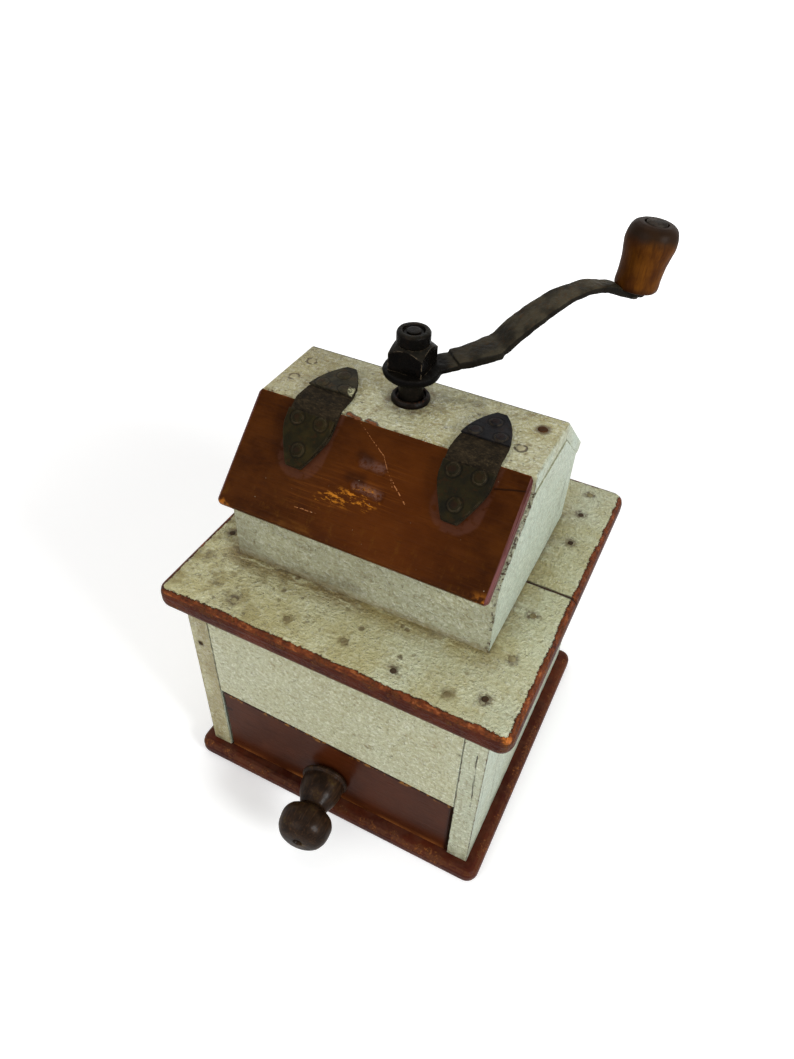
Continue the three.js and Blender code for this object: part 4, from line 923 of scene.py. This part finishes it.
def leant(rings):
    """Moves rings drawn upright round the handle's axis to their place on the arm."""
    return [[SEAT + (HANDLE_LEAN @ point) for point in ring] for ring in rings]


def squared(share):
    """Pushes a circle's sine or cosine out towards a square's."""
    return math.copysign(abs(share) ** ARM_SQUARENESS, share)


def arm_mesh():
    """The forged arm, its eye and the seat of the handle, grown together as one skin."""
    stations = steady_curve(ARM_SHARES, 5)
    rings = []
    for i, (reach, rise, width, thickness, offset) in enumerate(stations):
        before, after = stations[max(i - 4, 0)], stations[min(i + 4, len(stations) - 1)]
        tilt = math.atan2((after[1] - before[1]) * ARM_RISE, (after[0] - before[0]) * REACH)
        half = thickness * ARM_THICKNESS / 2
        upright = Vector((0, 0, math.cos(tilt))) - ARM * math.sin(tilt)
        centre = SPINDLE + ARM * reach * REACH
        centre.z = NUT_UNDER + rise * ARM_RISE - half * math.cos(tilt)
        ring = []
        for k in range(ARM_SIDES):
            angle = 2 * math.pi * (k + 0.5) / ARM_SIDES
            side = (squared(math.cos(angle)) * width / 2 + offset) * ARM_WIDTH
            ring.append(centre + ACROSS * side + upright * squared(math.sin(angle)) * half)
        rings.append(ring)
    eye = softened([
        (ON_AXIS, EYE_UNDER), (EYE_RADIUS - 0.7, EYE_UNDER), (EYE_RADIUS, EYE_UNDER + 1.4),
        (EYE_RADIUS - 0.2, NUT_UNDER), (ON_AXIS, NUT_UNDER),
    ], 0.7)
    seat = [(ON_AXIS, SEAT_UNDER), (SEAT_RADIUS - 0.2, SEAT_UNDER), (SEAT_RADIUS, 0), (ON_AXIS, 0)]
    rough = bpy.data.objects.new("crank_arm_rough", joined("crank_arm_rough", [
        mesh_from("arm_bar", rings),
        mesh_from("arm_eye", lathe_rings(eye, 64, SPINDLE)),
        mesh_from("arm_seat", leant(lathe_rings(softened(seat, 0.6), 40, Vector()))),
    ]))
    bpy.context.scene.collection.objects.link(rough)
    remesh = rough.modifiers.new("skin", "REMESH")
    remesh.mode = "VOXEL"
    remesh.voxel_size = SKIN_CELL * MM
    soften = rough.modifiers.new("soften", "SMOOTH")
    soften.factor = 0.5
    soften.iterations = 2
    skin = bpy.data.meshes.new_from_object(rough.evaluated_get(bpy.context.evaluated_depsgraph_get()))
    bpy.data.objects.remove(rough)
    for vertex in skin.vertices:
        spot = vertex.co / MM
        dent = noise.noise(spot * 0.16) * 0.28 + noise.noise(spot * 0.5) * 0.14
        vertex.co += vertex.normal * dent * MM
    skin.name = "forged_arm"
    return skin


def black_eye(s):
    """The arm is black round the spindle."""
    x, y, _ = s.axes(s.wobbled(1.5, 6, 23))
    x, y = s.number("SUBTRACT", x, SPINDLE.x), s.number("SUBTRACT", y, SPINDLE.y)
    away = s.number("SQRT", s.total((x, x), (y, y)))
    s.lay("15130f", 0.35, (away, 46, 36))
    s.lay("040303", 0.9, (away, 17, 12.5))


arm_iron = iron(
    "arm_iron", 150, "221f18", "423c2f", "493420", 0.5, 0.4, 0.3, 0.035, "0a0806", black_eye, "5d4f3c",
)
make_piece("forged_crank_arm", arm_mesh(), arm_iron, "crank", ["crank_arm"], sharp=60)


def turned_ring(name, level, profile, radius, seed):
    """A ring turned on the spindle from a closed profile of radii and heights above a level."""
    profile = softened([(r, level + h) for r, h in profile], radius)
    return mesh_from(name, lathe_rings(profile, 72, SPINDLE, 0.12, seed), looped=True)


# Collar and lock nut
BORE, STEM = 5.4, 6.6
collar = turned_ring("collar", RIDGE_TOP, [
    (BORE, -8.9), (STEM, -8.9), (STEM, -0.05), (8.15, 0.05), (8.2, 1.3), (7.7, 2.5), (7.2, 2.9), (6.4, 2.7),
    (5.95, 1.5), (BORE, 1.4),
], 0.35, 3)
collar_iron = iron(
    "collar_iron", 155, "0f0c09", "241b14", "4a2a1a", 0.75, 0.36, 0.22, 0.05, "080604", edge_wear_and_highlight="4f3a2c",
)
make_piece("collar_ring", collar, collar_iron, "body", ["spindle_collar"])

LOCK_HIGH = LOCK_TOP - NUT_TOP
lock = turned_ring("lock", LOCK_TOP, [
    (4.2, -LOCK_HIGH), (6.4, -LOCK_HIGH), (6.9, 0.5 - LOCK_HIGH), (6.9, -1.2), (6.3, -0.2), (5.8, 0),
    (4.6, 0), (4.3, -0.9), (4.2, -1.0),
], 0.3, 5)
nut_iron = iron(
    "nut_iron", 160, "0e0d09", "1e1b15", "3a2a1c", 0.5, 0.26, 0.3, 0.03, "030202", edge_wear_and_highlight="6a5c4a",
)
make_piece("round_lock_nut", lock, nut_iron, "crank", ["lock_nut"])
dress("crank_nut", nut_iron, 30)

# Handle, its pin and the drawer's knob
HANDLE_RADIUS, HANDLE_LOW, HANDLE_HIGH = 10.4, 0.15, 26.4  # above the seat
HANDLE_SHARES = [
    (0.76, 0.0), (0.84, 0.02), (0.87, 0.09), (0.86, 0.2), (0.87, 0.33), (0.905, 0.48), (0.965, 0.6),
    (1.0, 0.7), (0.99, 0.8), (0.925, 0.9), (0.82, 0.965), (0.66, 1.0),
]
HOLE_RADIUS, SINK_RADIUS, SINK_DEPTH = 3.0, 4.8, 1.5


def handle_mesh():
    height = HANDLE_HIGH - HANDLE_LOW
    outside = [(r * HANDLE_RADIUS, HANDLE_LOW + h * height) for r, h in smooth_row(HANDLE_SHARES, 4)]
    sunk = HANDLE_HIGH - SINK_DEPTH
    hole = [
        (SINK_RADIUS + 0.2, HANDLE_HIGH), (SINK_RADIUS, HANDLE_HIGH - 0.5), (SINK_RADIUS, sunk),
        (HOLE_RADIUS, sunk), (HOLE_RADIUS, HANDLE_LOW),
    ]
    return mesh_from("handle", leant(lathe_rings(outside + hole, 80, Vector(), 0.1, 7)), looped=True)


def handle_wood():
    s = Surface("handle_wood", specular=0.04)
    offset = s.vector("SUBTRACT", s.wobbled(1.2, 5, 19), tuple(SEAT))
    high = s.vector("DOT_PRODUCT", offset, tuple(handle_joint["axis"]))
    broad = s.grain(6, 170, 4, stretch=(1, 1, 2))
    fibre = s.grain(0.8, 171, 5, 0.6, (1, 1, 16))
    s.base = s.mix(s.ramp(broad, 0.35, 0.68), "3b1c03", "5c3409")
    s.lay("2d1303", 0.5, (fibre, 0.45, 0.7))
    # Painted shade: the handle is darker on its side turned to the left
    s.lay("261002", 0.5, (s.to_right, 0.1, -0.8))
    s.lay("1f150d", 0.92, (high, HANDLE_HIGH - 8.5, HANDLE_HIGH - 3))
    s.lay("231006", 0.7, (high, HANDLE_LOW + 3.2, HANDLE_LOW + 0.2))
    s.height = s.total((fibre, 0.5), (broad, 0.6))
    s.rough = s.total(0.3, (fibre, 0.2))
    return s.finish(0.12)


make_piece("turned_handle", handle_mesh(), handle_wood(), "handle", ["crank_handle"])

PIN_RADIUS, HEAD_RADIUS, FOOT_RADIUS = 2.6, 4.2, 2.7


def pin_mesh():
    head, foot = HANDLE_HIGH - 1.2, -3.6
    profile = softened([
        (ON_AXIS, foot - 0.8), (FOOT_RADIUS - 0.8, foot - 0.8), (FOOT_RADIUS, foot - 0.4),
        (FOOT_RADIUS, foot), (PIN_RADIUS, foot + 0.02), (PIN_RADIUS, head), (HEAD_RADIUS, head + 0.05),
        (HEAD_RADIUS - 0.05, head + 1.3), (HEAD_RADIUS - 0.8, head + 2.2), (1.6, head + 2.35),
        (ON_AXIS, head + 2.3),
    ], 0.35)
    return mesh_from("pin", leant(lathe_rings(profile, 56, Vector(), 0.4, 9)))


pin_iron = iron("pin_iron", 165, "1e1a17", "4a433c", "3a281e", 0.5, 0.5, 0.5)
make_piece("riveted_pin", pin_mesh(), pin_iron, "crank", ["handle_pin"])

KNOB_RADIUS, KNOB_LENGTH, KNOB_LEAN, KNOB_X = 12.8, 35.2, math.radians(8.5), -3.3
KNOB_GAP = 0.4  # from the drawer front's face to the flange
KNOB_SHARES = [
    (0.9, 0.0), (0.93, 0.02), (0.92, 0.045), (0.845, 0.065), (0.84, 0.12), (0.815, 0.2), (0.73, 0.32),
    (0.59, 0.42), (0.535, 0.485), (0.66, 0.53), (0.88, 0.578), (0.985, 0.65), (1.0, 0.73), (0.95, 0.85),
    (0.79, 0.945), (0.58, 0.99),
]
SCREW_HOLE, SCREW_DEPTH = 1.8, 4


def knob_mesh():
    """Drawn along Z from its flange, then leant over and turned to face forward."""
    outside = [(r * KNOB_RADIUS, h * KNOB_LENGTH) for r, h in smooth_row(KNOB_SHARES, 4)]
    end = [
        (SCREW_HOLE + 0.8, KNOB_LENGTH + 0.1), (SCREW_HOLE + 0.3, KNOB_LENGTH - 0.6),
        (SCREW_HOLE, KNOB_LENGTH - SCREW_DEPTH), (ON_AXIS, KNOB_LENGTH - SCREW_DEPTH),
    ]
    rings = lathe_rings([(ON_AXIS, 0.0)] + outside + end, 88, Vector(), 0.12, 11)
    turn = Matrix.Rotation(KNOB_LEAN, 4, "Z") @ Matrix.Rotation(math.pi / 2, 4, "X")
    rest = corners("drawer_front")[0][Y] - KNOB_GAP - KNOB_RADIUS * math.sin(KNOB_LEAN)
    foot = Vector((KNOB_X, rest, sum(corner[Z] for corner in corners("drawer_knob")) / 2))
    return mesh_from("knob", [[turn @ p + foot for p in ring] for ring in rings])


def knob_wood():
    s = Surface("knob_wood", specular=0.05)
    broad = s.grain(7, 180, 4)
    fibre = s.grain(0.9, 181, 5, stretch=(1, 14, 1))
    s.base = s.mix(s.ramp(broad, 0.35, 0.7), "1a110b", "302116")
    s.lay("4a3220", 0.5, (fibre, 0.5, 0.72))
    s.lay("50401f", 0.5, (broad, 0.55, 0.7), (s.grain(2.4, 182, 4), 0.4, 0.6))
    s.height = s.total((fibre, 0.4), (broad, 0.6))
    s.rough = s.total(0.24, (fibre, 0.2))
    return s.finish(0.1, coat=0.03)


make_piece("turned_knob", knob_mesh(), knob_wood(), "drawer", ["drawer_knob"])

# Leather hinge straps, one piece each across the fold, in shares of their length and half width
STRAP_HALF_WIDTH, STRAP_UP, STRAP_DOWN, STRAP_THICKNESS, STRAP_STEPS = 10.6, 27.8, 27.2, 1.8, 14
UPPER_SHARES = [(0, 1), (0.36, 0.95), (0.6, 0.8), (0.8, 0.57), (0.94, 0.33), (1, 0.2)]
LOWER_SHARES = [(0, 1), (0.38, 1), (0.57, 0.86), (0.76, 0.63), (0.93, 0.4), (1, 0.28)]
BEND = 2.2  # half the length over which the strap bends
BARE_FROM, BARE_TO = -9.4, 4.8  # the stretch between the plates
STRAP_CLEARANCE = 0.32  # over the boards


def strap_mesh(x, seed):
    """A strap from its upper tip to its lower end, bent over the fold."""
    upper = [(-STRAP_UP * a, STRAP_HALF_WIDTH * b) for a, b in smooth_row(UPPER_SHARES, 8)]
    lower = [(STRAP_DOWN * a, STRAP_HALF_WIDTH * b) for a, b in smooth_row(LOWER_SHARES, 8)]
    rings = []
    for s, half in list(reversed(upper)) + lower[1:]:
        bend = min(max((s + BEND) / (2 * BEND), 0), 1)
        angle = ROOF_SLOPE * bend
        if s <= -BEND:
            spot = FOLD + Vector((0, -s, 0))
        elif s >= BEND:
            spot = FOLD + DOWN_LID * s
        else:
            spot = rounded(FOLD + Vector((0, BEND, 0)), FOLD, FOLD + DOWN_LID * BEND, bend)
        out = Vector((0, -math.sin(angle), math.cos(angle)))
        spot = spot + Vector((x, 0, 0)) + out * STRAP_CLEARANCE
        ragged = 1 + 0.012 * noise.noise(Vector((s * 0.5, seed * 5, 0)))
        crease = -0.25 * math.exp(-((s - 1.5) / 0.8) ** 2) - 0.2 * math.exp(-((s + 1.6) / 0.7) ** 2)
        top, under = [], []
        for k in range(STRAP_STEPS + 1):
            share = 2 * k / STRAP_STEPS - 1
            edge_drop = 0.45 * max(abs(share) - 0.8, 0) / 0.2
            side = Vector((share * half * ragged, 0, 0))
            rumple = 0.16 * noise.noise(Vector((share * half * 0.45, s * 0.45, seed * 3.1)))
            lift = STRAP_THICKNESS - STRAP_CLEARANCE - edge_drop - 0.05
            if BARE_FROM < s < BARE_TO:
                lift += rumple + crease * (1 - bend * 0.2) + 0.2
            top.append(spot + side + out * lift)
            under.append(spot + side)
        rings.append(top + list(reversed(under)))
    return mesh_from("strap", rings)


def leather():
    s = Surface("hinge_leather", specular=0.04)
    wrinkles = s.grain(0.8, 191, 5, 0.75, (2.4, 1, 1))
    s.base = s.mix(s.ramp(s.grain(5, 190, 4), 0.3, 0.7), "1b160f", "2c2419")
    s.lay("463b2a", 0.6, (wrinkles, 0.5, 0.64))
    s.lay("0d0a07", 0.7, (wrinkles, 0.46, 0.36))
    s.height = s.total((wrinkles, 1.2), (s.cells(0.7, 30), 0.3))
    s.rough = s.total(0.6, (wrinkles, 0.2))
    return s.finish(0.45)


hinge_leather = leather()
for side in ("left", "right"):
    middle = strap_middle(side)
    strap = make_piece(
        side + "_leather_strap", strap_mesh(middle, len(side)), hinge_leather, None,
        [side + "_hinge_strap_upper", side + "_hinge_strap_lower"], sharp=55,
    )
    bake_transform(strap)


# Nail heads
def nail_mesh(name, places, level, radius, seed):
    parts = []
    for i, (x, y) in enumerate(places):
        size = radius * (1 + 0.25 * noise.noise(Vector((i * 1.7, seed, 0))))
        head = [(size, 0.04), (size * 0.86, 0.17), (size * 0.45, 0.2), (ON_AXIS, 0.14)]
        shank = [(ON_AXIS, -1.2), (size, -1.2)]
        rings = lathe_rings(shank + head, 18, Vector((x, y, level)), 0.12, i + seed)
        parts.append(mesh_from(name, rings))
    return joined(name, parts)


nail_iron = iron("nail_iron", 200, "241d16", "43372a", "5d4129", 0.7, 0.6, 0.25)
painted_nail = iron("painted_nail", 205, "6f6448", "97906c", "5d4a2e", 0.6, 0.6, 0.2)
brown_nail = iron("brown_nail", 207, "35200f", "55361d", "6b4527", 0.5, 0.5, 0.25)
top_nail = iron("top_nail", 206, "958c6c", "b0aa8c", "5d4a2e", 0.6, 0.6, 0.2)
post_nail = nail_mesh("post_nail", [(0, 0)], 0, 1.2, 10)
post_nail_place = Matrix.Translation(Vector((POST_NAIL[0], BOX_FRONT, POST_NAIL[1])) * MM)
post_nail.transform(post_nail_place @ Matrix.Rotation(math.pi / 2, 4, "X"))
for name, mesh, material in (
    ("plate_nails_dark", nail_mesh("dark_nails", DARK_NAILS, PLATE_TOP, 1.35, 2), nail_iron),
    ("plate_nails_painted", nail_mesh("painted_nails", PALE_NAILS, PLATE_TOP, 1.5, 4), painted_nail),
    ("left_post_nail", post_nail, nail_iron),
    ("top_board_nails", nail_mesh("top_nails", TOP_NAILS, RIDGE_TOP, 1.7, 6), top_nail),
    ("top_board_brown_nail", nail_mesh("brown_nail", [BROWN_NAIL], RIDGE_TOP, 2.1, 8), brown_nail),
):
    make_piece(name, mesh, material, "body")

# Floor and light
FLOOR_HALF, FLOOR_SINK = 4.0, 0.0002  # in metres
GLOW_NEAR, GLOW_FAR, LEAST_GLOW = 250, 900, 0.3  # the floor turns white from near to far
WORLD_LIGHT = 0.35
WHITE = (1, 1, 1, 1)


def make_floor():
    """A pale floor that keeps the shadow and fades to white away from the object."""
    mesh = bpy.data.meshes.new("floor")
    ends = [(-1, -1), (1, -1), (1, 1), (-1, 1)]
    mesh.from_pydata([(x * FLOOR_HALF, y * FLOOR_HALF, 0) for x, y in ends], [], [(0, 1, 2, 3)])
    floor = bpy.data.objects.new("floor", mesh)
    floor.location.z = -FLOOR_SINK
    bpy.context.scene.collection.objects.link(floor)
    s = Surface("floor_white", specular=0.1)
    fade = s.ramp(s.vector("LENGTH", s.place), GLOW_NEAR, GLOW_FAR, To_Min=LEAST_GLOW)
    glow = s.number("MULTIPLY", s.add("LightPath").outputs["Is Camera Ray"], fade)
    s.fill(s.shader, Base_Color=(0.9, 0.9, 0.9, 1), Roughness=0.9)
    s.fill(s.shader, Emission_Color=WHITE, Emission_Strength=glow)
    mesh.materials.append(s.material)


def make_world():
    """An even white sky, brighter where it is seen straight on or mirrored than where it gives light."""
    world = bpy.data.worlds.new("studio")
    bpy.context.scene.world = world
    graph = Graph(world)
    path = graph.add("LightPath").outputs
    seen = path["Is Camera Ray"]
    for ray in ("Is Glossy Ray", "Is Transmission Ray"):
        seen = graph.number("MAXIMUM", seen, path[ray])
    strength = graph.add("MapRange", Value=seen, To_Min=WORLD_LIGHT, To_Max=1.0).outputs[0]
    graph.fill(graph.tree.nodes["Background"], Color=WHITE, Strength=strength)


AIM = Vector((0, 0, 110))


def area_light(name, place_mm, size_mm, power, tint=(1, 1, 1)):
    data = bpy.data.lights.new(name, "AREA")
    data.shape = "RECTANGLE"
    data.size, data.size_y = size_mm[0] * MM, size_mm[1] * MM
    data.energy = power
    data.color = tint
    lamp = bpy.data.objects.new(name, data)
    lamp.location = Vector(place_mm) * MM
    lamp.rotation_mode = "QUATERNION"
    lamp.rotation_quaternion = (AIM - Vector(place_mm)).to_track_quat("-Z", "Y")
    bpy.context.scene.collection.objects.link(lamp)


make_floor()
make_world()
area_light("window_right", (1300, -400, 700), (420, 420), 16, (0.96, 0.99, 1.0))
area_light("soft_front", (-500, -1300, 900), (1300, 1100), 11)
area_light("soft_top", (-200, 400, 1700), (1400, 1200), 7, (1.0, 0.98, 0.95))
